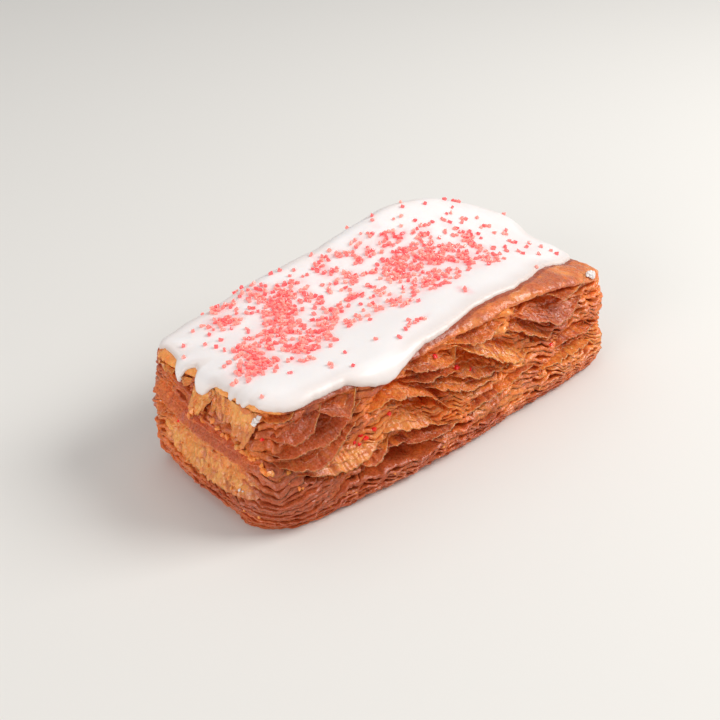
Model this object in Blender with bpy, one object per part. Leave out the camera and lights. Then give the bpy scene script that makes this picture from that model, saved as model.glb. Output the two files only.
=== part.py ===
"""Cronut stick: a bar of fried laminated dough under a sheet of white icing with sugar crystals.

The bar lies along X on z = 0. Its near long side faces -Y and its left end faces -X.
Sizes are in millimetres in the tables and functions, and every mesh is written in metres.
Places on the bar are given as (distance round the rim, path): the distance runs anticlockwise
from the middle of the near left corner, and the path is 0 on the rim, below 0 in over the top
and above 0 down the side.
"""

import bmesh
import bpy
import numpy as np
from mathutils import Euler, Matrix, Vector

MM = 0.001

# Driving dimensions of the bar.
LENGTH = 120.0
WIDTH = 47.0
CORNER_RADII = {"near_left": 9.0, "near_right": 5.0, "far_right": 8.0, "far_left": 5.0}
NEAR_BULGE = 3.2
FAR_BULGE = 6.6
BOX_MIDDLE = (-0.36, 1.71)
BASE_SPREADS = {"near": 3.5, "right": 2.0, "far": 0.8, "left": 4.2}
RIM_RADIUS = 3.0
QUARTER_TURN = RIM_RADIUS * np.pi / 4
BASE_TUCK = 3.0
BASE_ROUNDING = 8.0
FAR_LEFT_TUCK = 1.4
FAR_LEFT_CENTRE = -39.0
FAR_LEFT_REACH = 11.0
FAR_LEFT_ROUNDING = 14.0
FAR_LEFT_LEAST = -0.35
FLAT_INSET = 1.0

# Height of the top: a tilted sheet with a hump and a low ridge at the far edge and a long swell
# near the near one.
TOP_HEIGHT = 29.4
TOP_FALL_RIGHT = 2.7
TOP_TWIST = 1.7
HUMP_HEIGHT = 11.7
HUMP_CENTRE = (28.0, 24.0)
HUMP_REACH = (27.0, 19.0)
RIDGE_HEIGHT = 3.4
RIDGE_CENTRE = (-19.0, 25.0)
RIDGE_REACH = (22.0, 14.0)
SWELL_HEIGHT = 7.0
SWELL_CENTRE = (24.0, -22.0)
SWELL_REACH_LEFT, SWELL_REACH_RIGHT, SWELL_REACH_ACROSS = 50.0, 33.0, 25.0

# Lamination: how many ledges a side shows, and how far they stand out and go in.
LEDGES = 8
CRUST = 4.0
CRUST_LIP = 0.6
LEDGE_REACH = 0.9
LEDGE_FOOT, LEDGE_BROW = 0.38, 0.86
LEDGE_SLOPE = 0.3
LEDGE_CLEARANCE = 1.2
GROOVE_DEPTH = 1.3
LEDGE_WANDER = 0.16
POCKET_OPENING_UNIT = 3.0

# Pockets where the dough tore open: distance round the rim, height share, half width, opening, depth.
POCKETS = (
    (14.0, 0.75, 9.0, 3.0, 4.0),
    (43.0, 0.58, 11.0, 6.0, 6.0),
    (61.0, 0.75, 10.0, 4.5, 5.0),
    (84.0, 0.75, 11.0, 3.0, 4.0),
    (95.0, 0.95, 13.0, 4.0, 5.0),
    (100.0, 0.43, 9.0, 3.4, 3.5),
    (36.0, 0.29, 10.0, 3.5, 3.5),
    (136.0, 0.60, 12.0, 4.5, 5.0),
    (172.0, 0.45, 15.0, 6.0, 5.0),
    (205.0, 0.70, 16.0, 6.0, 5.5),
    (238.0, 0.40, 15.0, 5.5, 5.0),
    (262.0, 0.75, 12.0, 4.0, 4.5),
    (290.0, 0.40, 14.0, 5.0, 3.5),
)
# The layers dip at the near left corner and climb to the far left one: distance, bend, reach.
LAYER_BENDS = ((0.0, -0.19, 15.0), (-44.0, 0.22, 16.0))

# Icing: thickness, its clearance over the dough, and its edge as (distance round the rim, path).
ICING_THICKNESS = 1.9
CLEARANCE = 0.45
ICING_LIP = 2.4
ICING_EDGE_HEIGHT = 0.25
ICING_EDGE = (
    (0.0, 0.5), (4.0, 0.8), (9.0, 0.4), (15.0, -0.2), (20.0, -0.3), (23.0, 1.1), (27.0, 2.7),
    (30.0, 3.3), (33.0, 3.1), (36.0, 1.7), (40.0, 0.3), (45.0, -1.0), (51.5, -1.2), (58.0, -2.4),
    (65.5, -3.7), (73.0, -4.0), (81.0, -3.8), (88.0, -5.0), (96.5, -7.7), (104.0, -10.0),
    (111.0, -12.2), (118.0, -12.8), (122.0, -9.5), (126.0, -3.8), (128.5, -0.6), (130.5, 1.4),
    (134.0, 4.0), (139.0, 1.6), (147.0, 0.6),
    (155.0, 3.2), (161.0, 5.2), (166.0, 1.8), (176.0, 0.8), (186.0, 3.6), (191.0, 6.0),
    (196.0, 2.4), (207.0, 1.0), (216.0, 2.8), (222.0, 4.8), (229.0, 1.8), (241.0, 0.6),
    (248.0, 3.4), (254.0, 5.4), (259.0, 1.6), (268.0, 0.4), (276.0, 1.2), (280.5, -0.4),
    (284.0, -1.8), (287.0, -0.6), (290.0, 3.8), (291.8, 1.2), (294.0, -1.0), (295.6, 1.0),
    (297.0, 4.6), (299.4, 4.2), (301.6, 1.4), (304.0, -0.4), (306.5, 0.1), (309.8, 1.4),
    (312.0, 0.1), (315.0, 1.4), (317.5, 0.0),
)

# Sugar crystals: how many, their largest size, and where the heaps lie on the top.
CRYSTALS = 150
CRYSTAL_SIZES = (1.4, 2.0)
CRYSTAL_SHAPE = (1.0, 0.85, 0.7)
CRYSTAL_SINK = 0.2
CRYSTAL_HEAPS = (((-33.0, 6.0), (9.5, 8.0), 1.0), ((19.0, 3.5), (15.0, 8.0), 0.9))
CRYSTAL_STRAYS = 0.06
CRYSTAL_GAP = 2.6
CRYSTAL_MARGIN = 5.0

# Columns of faces on each stretch of the rim: end of the stretch, number of columns.
STRETCHES = ((111.0, 36), (152.0, 14), (272.0, 32), (321.55, 30))
TOP_RINGS = (0.28, 0.56, 0.84)
UNDERSIDE_SHARES = (0.0, 0.33, 0.67, 1.0)
SEED = 7


def remove_scene_objects():
    """Starts from an empty scene."""
    for thing in list(bpy.data.objects):
        bpy.data.objects.remove(thing, do_unlink=True)


def material(name, colour, roughness, coat=0.0):
    """A Principled material with one colour."""
    made = bpy.data.materials.new(name)
    made.use_nodes = True
    shader = made.node_tree.nodes["Principled BSDF"]
    shader.inputs["Base Color"].default_value = (*colour, 1.0)
    shader.inputs["Roughness"].default_value = roughness
    shader.inputs["Metallic"].default_value = 0.0
    shader.inputs["Coat Weight"].default_value = coat
    made.diffuse_color = (*colour, 1.0)
    return made


def rim_outline():
    """The rim in plan as a dense closed line, and the distance to each of its points."""
    half_length, half_width = LENGTH / 2, WIDTH / 2

    def corner(name, side_x, side_y, first, last):
        radius = CORNER_RADII[name]
        turn = np.radians(np.linspace(first, last, 24))
        x = side_x * (half_length - radius) + radius * np.cos(turn)
        y = side_y * (half_width - radius) + radius * np.sin(turn)
        return np.stack([x, y], axis=-1)

    line = np.concatenate([
        corner("near_left", -1, -1, 225, 270),
        corner("near_right", 1, -1, 270, 360),
        corner("far_right", 1, 1, 0, 90),
        corner("far_left", -1, 1, 90, 180),
        corner("near_left", -1, -1, 180, 225),
    ])
    steps = np.linalg.norm(np.diff(line, axis=0), axis=1)
    return line, np.concatenate([[0.0], np.cumsum(steps)])


OUTLINE, OUTLINE_DISTANCE = rim_outline()
PERIMETER = OUTLINE_DISTANCE[-1]


def rim_point(distance):
    """The rim's point in plan, before the long sides bulge."""
    distance = np.mod(distance, PERIMETER)
    return np.stack([np.interp(distance, OUTLINE_DISTANCE, OUTLINE[:, k]) for k in (0, 1)], axis=-1)


def rim_normal(distance):
    """The direction straight out of the rim in plan."""
    along = rim_point(distance + 0.5) - rim_point(distance - 0.5)
    along /= np.linalg.norm(along, axis=-1, keepdims=True)
    return np.stack([along[..., 1], -along[..., 0]], axis=-1)


def base_spread(distance):
    """How far the foot of the side stands out past the rim."""
    out_x, out_y = np.moveaxis(rim_normal(distance), -1, 0)
    shares = {"near": -out_y, "right": out_x, "far": out_y, "left": -out_x}
    return sum(BASE_SPREADS[side] * np.maximum(0, share) ** 2 for side, share in shares.items())


def placed(plan):
    """Moves points in plan out with the long sides' bulge, and the bar's middle to the origin."""
    share = 1 - np.minimum(1, (2 * plan[..., 0] / LENGTH) ** 2)
    across = 2 * plan[..., 1] / WIDTH
    bulge = np.where(across > 0, FAR_BULGE, NEAR_BULGE)
    return np.stack([plan[..., 0], plan[..., 1] + bulge * across * share], axis=-1) - BOX_MIDDLE


def round_rise(plan, centre, reach):
    """Share of a round rise over the plan point, 1 at its centre."""
    return np.exp(-sum(((plan[..., k] - centre[k]) / reach[k]) ** 2 for k in (0, 1)))


def top_height(plan):
    """Height of the dough's top over the plan point."""
    along, across = 2 * plan[..., 0] / LENGTH, 2 * plan[..., 1] / WIDTH
    hump = HUMP_HEIGHT * round_rise(plan, HUMP_CENTRE, HUMP_REACH)
    ridge = RIDGE_HEIGHT * round_rise(plan, RIDGE_CENTRE, RIDGE_REACH)
    past_x, past_y = plan[..., 0] - SWELL_CENTRE[0], plan[..., 1] - SWELL_CENTRE[1]
    reach_x = np.where(past_x < 0, SWELL_REACH_LEFT, SWELL_REACH_RIGHT)
    swell = (past_x / reach_x) ** 2 + (past_y / SWELL_REACH_ACROSS) ** 2
    tilt = -TOP_FALL_RIGHT * along + TOP_TWIST * along * across
    return TOP_HEIGHT + tilt + hump + ridge + SWELL_HEIGHT * np.exp(-swell)


def inner_rim(distance):
    """The rim's point moved in by the rim's rounding."""
    return rim_point(distance) - RIM_RADIUS * rim_normal(distance)


def middle_line(plan):
    """The nearest points of the bar's middle line."""
    reach = (LENGTH - WIDTH) / 2
    return np.stack([np.clip(plan[..., 0], -reach, reach), 0 * plan[..., 1]], axis=-1)


def towards_middle(plan, share):
    """Moves points a share of the way from the rim to the bar's middle line."""
    return plan + (middle_line(plan) - plan) * np.asarray(share)[..., None]


def share_of_path(distance, path):
    """The share of the way from the rim to the middle line that a path in over the top covers."""
    inner = inner_rim(distance)
    way = np.linalg.norm(middle_line(inner) - inner, axis=-1)
    return np.clip((-QUARTER_TURN - path) / way, 0, 1)


def skin(distance, path, lift):
    """A point lifted off the bar's smooth outside, on the top, round the rim or down the side."""
    distance, path, lift = np.broadcast_arrays(distance, path, lift)
    turn = np.clip((path + QUARTER_TURN) / RIM_RADIUS, 0, np.pi / 2)
    inner = inner_rim(distance)
    plan = towards_middle(inner, share_of_path(distance, path))
    down = np.maximum(0, path - QUARTER_TURN)
    drop = top_height(inner) - RIM_RADIUS
    out = (RIM_RADIUS + lift) * np.sin(turn) + base_spread(distance) * np.clip(down / drop, 0, 1)
    z = top_height(plan) - RIM_RADIUS + (RIM_RADIUS + lift) * np.cos(turn) - down
    across = placed(plan + rim_normal(distance) * out[..., None])
    return np.concatenate([across, z[..., None]], axis=-1)


def wander(distance, generator, waves):
    """Smooth noise round the rim, about -1 to 1, that meets itself."""
    angle = 2 * np.pi * distance / PERIMETER
    phases = generator.uniform(0, 2 * np.pi, len(waves))
    total = sum(np.cos(wave * angle + phase) for wave, phase in zip(waves, phases))
    return total / np.sqrt(2 * len(waves))


def columns():
    """Distances round the rim of the columns of faces, closer together where the edge is busy."""
    first, found = 0.0, []
    for last, count in STRETCHES:
        found.append(np.linspace(first, min(last, PERIMETER), count, endpoint=False))
        first = last
    return np.concatenate(found)


def round_gap(distance, centre):
    """Distance round the rim from the centre, the short way."""
    return (distance - centre + PERIMETER / 2) % PERIMETER - PERIMETER / 2


def layer_levels(distance, generator):
    """Height share of each groove from the base to the crust, one row for each groove."""
    thinnest, thickest = 0.78, 1.22
    thickness = np.ones((LEDGES, len(distance)))
    thickness *= np.linspace(thinnest, thickest, LEDGES)[:, None]
    for row in thickness:
        row *= 1 + LEDGE_WANDER * wander(distance, generator, range(3, 15))
    for centre, level, half_width, opening, _ in POCKETS:
        nearest = int(level * (LEDGES - 1))
        share = np.exp(-(round_gap(distance, centre) / half_width) ** 2)
        thickness[nearest] += opening / POCKET_OPENING_UNIT * share
    levels = np.concatenate([np.zeros((1, len(distance))), np.cumsum(thickness, axis=0)])
    levels /= levels[-1]
    for centre, bend, reach in LAYER_BENDS:
        share = np.exp(-(round_gap(distance, centre) / reach) ** 2)
        levels += bend * share * 4 * levels * (1 - levels)
    return levels


def groove_depths(distance, groove, generator):
    """How far a groove goes in, deeper at the pockets whose height share is nearest."""
    depth = GROOVE_DEPTH * (1 + 0.4 * wander(distance, generator, range(4, 18)))
    for centre, level, half_width, _, pocket in POCKETS:
        if int(level * (LEDGES - 1)) == groove:
            depth += pocket * np.exp(-(round_gap(distance, centre) / half_width) ** 2)
    return depth


def side_ring(distance, z, out):
    """A ring of points at the given heights on the bar's side."""
    inner = inner_rim(distance)
    drop = top_height(inner) - RIM_RADIUS
    tuck = BASE_TUCK * np.clip(1 - z / BASE_ROUNDING, 0, 1) ** 2
    far_left = np.exp(-(round_gap(distance, FAR_LEFT_CENTRE) / FAR_LEFT_REACH) ** 2)
    tuck += FAR_LEFT_TUCK * far_left * np.clip(1 - z / FAR_LEFT_ROUNDING, FAR_LEFT_LEAST, 1)
    spread = base_spread(distance) * np.clip(1 - z / drop, 0, 1)
    plan = inner + rim_normal(distance) * (RIM_RADIUS + spread - tuck + out)[:, None]
    return np.concatenate([placed(plan), z[:, None]], axis=-1)


def top_ring(distance, share, lift):
    """A ring on the bar's top, a share of the way from the rim to its middle line."""
    plan = towards_middle(inner_rim(distance), np.broadcast_to(share, distance.shape))
    return np.concatenate([placed(plan), (top_height(plan) + lift)[:, None]], axis=-1)


def pastry_rings():
    """The dough's surface from the base up, over the ledges and the crust to the middle."""
    generator = np.random.default_rng(SEED)
    distance = columns()
    crust_foot = top_height(inner_rim(distance)) - CRUST
    levels = layer_levels(distance, generator) * crust_foot
    rings = [side_ring(distance, np.zeros(len(distance)), np.full(len(distance), -FLAT_INSET))]
    for ledge in range(LEDGES):
        low, high = levels[ledge], levels[ledge + 1]
        reach = LEDGE_REACH * (0.5 + 0.7 * wander(distance, generator, range(5, 24)))
        if ledge:
            rings.append(side_ring(distance, low, -groove_depths(distance, ledge, generator)))
        rings.append(side_ring(distance, low + LEDGE_FOOT * (high - low), reach))
        rings.append(side_ring(distance, low + LEDGE_BROW * (high - low), reach - LEDGE_SLOPE))
    rings.append(side_ring(distance, crust_foot, -groove_depths(distance, LEDGES, generator)))
    rings.append(side_ring(distance, crust_foot + CRUST_LIP, np.zeros(len(distance))))
    rings += [skin(distance, path, 0.0) for path in (QUARTER_TURN, 0.0, -QUARTER_TURN)]
    rings += [top_ring(distance, share, 0.0) for share in TOP_RINGS]
    return rings


def icing_edge(distance):
    """Path to the icing's edge, with straight stretches between its points."""
    table = np.array(ICING_EDGE)
    around = np.concatenate([table[:, 0] - PERIMETER, table[:, 0], table[:, 0] + PERIMETER])
    return np.interp(distance, around, np.tile(table[:, 1], 3))


def clear_lift(path):
    """How far the icing's underside stands off the smooth outside, to clear the ledges."""
    return CLEARANCE + LEDGE_CLEARANCE * np.clip((path - 0.5) / RIM_RADIUS, 0, 1)


def inner_rings(distance, path, shares, lift):
    """Rings over the top that stay further in than a path, outermost first."""
    least = share_of_path(distance, path)
    return [
        top_ring(distance, np.maximum(share, least + 0.04 * (step + 1)), lift)
        for step, share in enumerate(shares)
    ]


def icing_rings():
    """The icing's surface from the middle of its top out to the edge and back under it."""
    distance = columns()
    edge = icing_edge(distance)
    shoulder = np.minimum(edge - 2.2 * ICING_LIP, -QUARTER_TURN)
    brow = edge - 0.75 * ICING_LIP
    lip = edge - 0.2 * ICING_LIP
    rings = inner_rings(distance, shoulder, TOP_RINGS[1:], CLEARANCE + ICING_THICKNESS)[::-1]
    for path, rise in ((shoulder, 1.0), ((shoulder + brow) / 2, 1.0), (brow, 0.95), (lip, 0.62)):
        rings.append(skin(distance, path, clear_lift(path) + ICING_THICKNESS * rise))
    rings.append(skin(distance, edge, clear_lift(edge) + ICING_EDGE_HEIGHT))
    under = np.minimum(edge - ICING_LIP, -QUARTER_TURN)
    for share in UNDERSIDE_SHARES:
        path = edge + (under - edge) * share
        rings.append(skin(distance, path, clear_lift(path)))
    return rings + inner_rings(distance, under, TOP_RINGS, CLEARANCE)


def crystal_places(generator):
    """Seeded places for the crystals: thick in the heaps, with a few strays between them."""
    places = []
    while len(places) < CRYSTALS:
        distance = np.array([generator.uniform(0, PERIMETER)])
        share = 1 - np.sqrt(generator.uniform(0, 1))
        plan = towards_middle(inner_rim(distance), np.array([share]))
        way = np.linalg.norm(middle_line(plan) - plan)
        heaps = sum(
            weight * np.exp(-sum(((plan[0, k] - centre[k]) / reach[k]) ** 2 for k in (0, 1)))
            for centre, reach, weight in CRYSTAL_HEAPS
        )
        path = -QUARTER_TURN - share / max(1 - share, 0.02) * way
        inside = path < icing_edge(distance)[0] - CRYSTAL_MARGIN
        clear = all(np.linalg.norm(plan[0] - other) > CRYSTAL_GAP for other in places)
        if inside and clear and generator.uniform() < heaps + CRYSTAL_STRAYS:
            places.append(plan[0])
    return np.array(places)


def crystal(place, icing, generator):
    """One block of coarse sugar, turned at random and sunk a little into the icing."""
    size = generator.uniform(*CRYSTAL_SIZES)
    over = Vector((*placed(place), 2 * TOP_HEIGHT)) * MM
    _, foot, normal, _ = icing.ray_cast(over, Vector((0, 0, -1)))
    centre = foot + normal * size * (0.5 * CRYSTAL_SHAPE[2] - CRYSTAL_SINK) * MM
    turn = Euler((*generator.uniform(-0.4, 0.4, 2), generator.uniform(0, 2 * np.pi)))
    scale = Matrix.Diagonal((*(np.array(CRYSTAL_SHAPE) * size * MM), 1.0))
    stand = Matrix.Translation(centre) @ turn.to_matrix().to_4x4() @ scale
    build = bmesh.new()
    bmesh.ops.create_cube(build, size=1.0, matrix=stand)
    mesh = bpy.data.meshes.new("crystal")
    build.to_mesh(mesh)
    build.free()
    return bpy.data.objects.new("crystal", mesh)


def fuse_crystals(icing):
    """Joins the sugar crystals to the icing with one Boolean union."""
    generator = np.random.default_rng(SEED)
    bpy.context.view_layer.update()
    crystals = bpy.data.collections.new("crystals")
    bpy.context.scene.collection.children.link(crystals)
    for place in crystal_places(generator):
        crystals.objects.link(crystal(place, icing, generator))
    union = icing.modifiers.new("crystals", "BOOLEAN")
    union.operation = "UNION"
    union.operand_type = "COLLECTION"
    union.collection = crystals
    union.solver = "MANIFOLD"
    fused = bpy.data.meshes.new_from_object(icing.evaluated_get(bpy.context.evaluated_depsgraph_get()))
    icing.modifiers.clear()
    icing.data = fused
    for thing in list(crystals.objects):
        bpy.data.objects.remove(thing, do_unlink=True)
    bpy.data.collections.remove(crystals)


def solid_of_rings(name, rings, look):
    """Joins rings of points with faces, shuts both ends and makes one closed mesh object."""
    build = bmesh.new()
    loops = [[build.verts.new(point * MM) for point in ring] for ring in rings]
    for low, high in zip(loops, loops[1:]):
        for first in range(len(low)):
            after = (first + 1) % len(low)
            build.faces.new((low[first], low[after], high[after], high[first]))
    for loop in (loops[0], loops[-1]):
        build.faces.new(loop)
    ends = [face for face in build.faces if len(face.verts) > 4]
    bmesh.ops.triangulate(build, faces=ends)
    bmesh.ops.recalc_face_normals(build, faces=build.faces)
    mesh = bpy.data.meshes.new(name)
    build.to_mesh(mesh)
    build.free()
    mesh.materials.append(look)
    made = bpy.data.objects.new(name, mesh)
    bpy.context.scene.collection.objects.link(made)
    return made


def make_pastry():
    """The bar of dough: one solid with its ledges, grooves and torn pockets."""
    return solid_of_rings("pastry", pastry_rings(), material("fried_dough", (0.47, 0.20, 0.08), 0.6))


def main():
    """Builds the dough and the icing with its crystals."""
    remove_scene_objects()
    make_pastry()
    icing = solid_of_rings("icing", icing_rings(), material("white_icing", (0.92, 0.90, 0.88), 0.25, 0.5))
    fuse_crystals(icing)


if __name__ == "__main__":
    main()
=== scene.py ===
"""The looks of a cronut stick: a bar of fried laminated dough under icing and pink sugar.

The bar lies along X on z = 0, with its near long side facing -Y. Its form is worked out in
millimetres by BarForm, and every mesh is written in metres in the frame's own place. Places on
the bar are given as (distance round the rim, path): the distance runs anticlockwise from the
middle of the near left corner, and the path is 0 on the rim, below 0 in over the top and above
0 down the side.
"""
import logging
from dataclasses import dataclass, field, replace
from enum import Enum
from functools import cache

import bmesh
import bpy
import numpy as np
from mathutils import Euler, Matrix, Vector
from mathutils.bvhtree import BVHTree
from mathutils.kdtree import KDTree


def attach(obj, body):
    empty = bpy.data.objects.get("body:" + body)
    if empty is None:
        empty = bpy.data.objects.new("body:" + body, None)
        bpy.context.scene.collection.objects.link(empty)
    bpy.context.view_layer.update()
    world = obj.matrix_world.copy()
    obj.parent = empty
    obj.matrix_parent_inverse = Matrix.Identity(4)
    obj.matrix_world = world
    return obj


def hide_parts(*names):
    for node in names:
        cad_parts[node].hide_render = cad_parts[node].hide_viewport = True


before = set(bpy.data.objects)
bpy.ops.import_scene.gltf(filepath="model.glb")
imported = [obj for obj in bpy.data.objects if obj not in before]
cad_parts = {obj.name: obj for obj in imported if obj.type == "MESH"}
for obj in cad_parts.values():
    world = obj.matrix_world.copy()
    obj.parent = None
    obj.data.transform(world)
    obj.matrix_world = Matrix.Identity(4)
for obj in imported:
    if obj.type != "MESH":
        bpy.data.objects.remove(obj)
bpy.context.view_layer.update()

Array = np.ndarray
Material = bpy.types.Material
SceneObject = bpy.types.Object
Socket = bpy.types.NodeSocket
Pair = tuple[float, float]
Triple = tuple[float, float, float]
Colour = tuple[float, float, float, float]
Table = tuple[tuple[float, ...], ...]
Values = dict[str, Array]
Rows = list[tuple[Array, Array, Array, float]]
LOG = logging.getLogger("cronut_stick")
MM = 0.001
SEED = 11


def placed_object(name: str, data: bpy.types.ID) -> SceneObject:
    """Puts a mesh, lamp or camera into the scene as an object at the origin.

    Args:
        name: the object's name.
        data: the mesh, lamp or camera.

    Returns:
        The object.
    """
    made = bpy.data.objects.new(name, data)
    bpy.context.scene.collection.objects.link(made)
    return made


class Noise:
    """Smooth gradient noise in space, about -1 to 1, the same on every run."""

    def __init__(self, seed: int) -> None:
        """Draws the table of directions.

        Args:
            seed: fixes the draw.
        """
        generator = np.random.default_rng(seed)
        self.order = generator.permutation(256)
        steep = generator.normal(size=(256, 3))
        self.steep = steep / np.linalg.norm(steep, axis=1, keepdims=True)

    def at(self, points: Array) -> Array:
        """Noise at each point.

        Args:
            points: an array whose last axis is x, y, z, one cell to a unit.

        Returns:
            The noise, without the last axis.
        """
        cell = np.floor(points).astype(np.int64)
        part = points - cell
        ease = part * part * part * (part * (part * 6 - 15) + 10)
        total = np.zeros(points.shape[:-1])
        for corner in np.ndindex(2, 2, 2):
            x, y, z = ((cell[..., k] + corner[k]) & 255 for k in range(3))
            steep = self.steep[self.order[(self.order[(self.order[x] + y) & 255] + z) & 255]]
            rise = np.sum(steep * (part - corner), axis=-1)
            share = np.prod([ease[..., k] if corner[k] else 1 - ease[..., k] for k in range(3)], axis=0)
            total += share * rise
        return 1.7 * total

    def layered(self, points: Array, octaves: int = 3, fall: float = 0.5) -> Array:
        """Noise with finer noise on top of it.

        Args:
            points: an array whose last axis is x, y, z.
            octaves: how many scales are added.
            fall: how much weaker each finer scale is.

        Returns:
            The noise, about -1 to 1.
        """
        total, weight, scale = 0.0, 1.0, 1.0
        for octave in range(octaves):
            total = total + weight * self.at(points * scale + 19.7 * octave)
            weight, scale = weight * fall, scale * 2.1
        return total


def smooth_step(low: float, high: float, value: Array) -> Array:
    """Rises smoothly from 0 at low to 1 at high."""
    share = np.clip((value - low) / (high - low), 0, 1)
    return share * share * (3 - 2 * share)


@dataclass(frozen=True)
class BarForm:
    """The smooth outside of the bar, in millimetres, as the solids have it."""

    length: float = 120.0
    width: float = 47.0
    corner_near_left: float = 9.0
    corner_near_right: float = 5.0
    corner_far_right: float = 8.0
    corner_far_left: float = 5.0
    near_bulge: float = 3.2
    far_bulge: float = 6.6
    box_middle: Pair = (-0.36, 1.71)
    spread_near: float = 3.5
    spread_right: float = 2.0
    spread_far: float = 0.8
    spread_left: float = 4.2
    rim_radius: float = 3.0
    base_tuck: float = 3.0
    base_rounding: float = 8.0
    top: float = 29.4
    fall_right: float = 2.7
    twist: float = 1.7
    hump: float = 11.7
    hump_centre: Pair = (28.0, 24.0)
    hump_reach: Pair = (27.0, 19.0)
    ridge: float = 3.4
    ridge_centre: Pair = (-19.0, 25.0)
    ridge_reach: Pair = (22.0, 14.0)
    swell: float = 7.0
    swell_centre: Pair = (24.0, -22.0)
    swell_reach: Triple = (50.0, 33.0, 25.0)
    far_left_tuck: float = 2.2
    far_left_place: float = -42.0
    far_left_reach: float = 11.0
    far_left_height: float = 14.0
    far_left_lean: float = -0.35
    far_left_fade: Pair = (28.0, 20.0)

    @property
    def quarter_turn(self) -> float:
        """Half the path round the rim's rounding."""
        return self.rim_radius * np.pi / 4

    @cache
    def outline(self) -> tuple[Array, Array]:
        """The rim in plan as a dense closed line.

        Returns:
            The line's points, and the distance round the rim to each.
        """
        half_length, half_width = self.length / 2, self.width / 2

        def corner(radius: float, side_x: int, side_y: int, first: float, last: float) -> Array:
            """Points round one corner.

            Args:
                radius: the corner's radius.
                side_x: 1 for the right end, -1 for the left.
                side_y: 1 for the far side, -1 for the near one.
                first: where it begins, in degrees.
                last: where it ends.

            Returns:
                The points in plan.
            """
            turn = np.radians(np.linspace(first, last, 24))
            x = side_x * (half_length - radius) + radius * np.cos(turn)
            y = side_y * (half_width - radius) + radius * np.sin(turn)
            return np.stack([x, y], axis=-1)

        line = np.concatenate([
            corner(self.corner_near_left, -1, -1, 225, 270),
            corner(self.corner_near_right, 1, -1, 270, 360),
            corner(self.corner_far_right, 1, 1, 0, 90),
            corner(self.corner_far_left, -1, 1, 90, 180),
            corner(self.corner_near_left, -1, -1, 180, 225),
        ])
        steps = np.linalg.norm(np.diff(line, axis=0), axis=1)
        return line, np.concatenate([[0.0], np.cumsum(steps)])

    @property
    def perimeter(self) -> float:
        """Distance once round the rim."""
        return float(self.outline()[1][-1])

    def past(self, distance: Array, centre: float = 0.0) -> Array:
        """Distance round the rim past a centre, the short way."""
        around = self.perimeter
        return np.mod(distance - centre + around / 2, around) - around / 2

    def rim_point(self, distance: Array) -> Array:
        """The rim's point in plan, before the long sides bulge."""
        line, run = self.outline()
        return np.stack([np.interp(np.mod(distance, run[-1]), run, line[:, k]) for k in (0, 1)], axis=-1)

    def rim_normal(self, distance: Array) -> Array:
        """The direction straight out of the rim in plan.

        Args:
            distance: distance round the rim.

        Returns:
            The direction, 1 long.
        """
        along = self.rim_point(distance + 0.5) - self.rim_point(distance - 0.5)
        along /= np.linalg.norm(along, axis=-1, keepdims=True)
        return np.stack([along[..., 1], -along[..., 0]], axis=-1)

    def base_spread(self, distance: Array) -> Array:
        """How far the foot of the side stands out past the rim.

        Args:
            distance: distance round the rim.

        Returns:
            The spread in millimetres.
        """
        out_x, out_y = np.moveaxis(self.rim_normal(distance), -1, 0)
        pairs = (
            (self.spread_near, -out_y), (self.spread_right, out_x),
            (self.spread_far, out_y), (self.spread_left, -out_x),
        )
        return sum(spread * np.maximum(0, share) ** 2 for spread, share in pairs)

    def placed(self, plan: Array) -> Array:
        """Moves points in plan out with the long sides' bulge, and the bar's middle to the origin.

        Args:
            plan: points in plan.

        Returns:
            The moved points.
        """
        share = 1 - np.minimum(1, (2 * plan[..., 0] / self.length) ** 2)
        across = 2 * plan[..., 1] / self.width
        bulge = np.where(across > 0, self.far_bulge, self.near_bulge)
        moved = np.stack([plan[..., 0], plan[..., 1] + bulge * across * share], axis=-1)
        return moved - self.box_middle

    def bump(self, plan: Array, centre: Pair, reach: Pair) -> Array:
        """A round rise in plan, 1 at its centre."""
        return np.exp(-sum(((plan[..., k] - centre[k]) / reach[k]) ** 2 for k in (0, 1)))

    def top_height(self, plan: Array) -> Array:
        """Height of the dough's top over points in plan.

        Args:
            plan: points in plan.

        Returns:
            The height over the floor.
        """
        along, across = 2 * plan[..., 0] / self.length, 2 * plan[..., 1] / self.width
        hump = self.hump * self.bump(plan, self.hump_centre, self.hump_reach)
        ridge = self.ridge * self.bump(plan, self.ridge_centre, self.ridge_reach)
        past_x, past_y = plan[..., 0] - self.swell_centre[0], plan[..., 1] - self.swell_centre[1]
        reach_left, reach_right, reach_across = self.swell_reach
        away = (past_x / np.where(past_x < 0, reach_left, reach_right)) ** 2 + (past_y / reach_across) ** 2
        tilt = -self.fall_right * along + self.twist * along * across
        return self.top + tilt + hump + ridge + self.swell * np.exp(-away)

    def inner_rim(self, distance: Array) -> Array:
        """The rim's point moved in by the rim's rounding."""
        return self.rim_point(distance) - self.rim_radius * self.rim_normal(distance)

    def rim_height(self, distance: Array) -> Array:
        """Height of the dough's top over the inner rim."""
        return self.top_height(self.inner_rim(distance))

    def middle_line(self, plan: Array) -> Array:
        """The nearest points of the bar's middle line."""
        reach = (self.length - self.width) / 2
        return np.stack([np.clip(plan[..., 0], -reach, reach), 0 * plan[..., 1]], axis=-1)

    def towards_middle(self, plan: Array, share: Array) -> Array:
        """Moves points a share of the way from the rim to the bar's middle line."""
        return plan + (self.middle_line(plan) - plan) * np.asarray(share)[..., None]

    def way_in(self, distance: Array) -> Array:
        """Length of the way from the inner rim to the middle line."""
        inner = self.inner_rim(distance)
        return np.linalg.norm(self.middle_line(inner) - inner, axis=-1)

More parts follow.
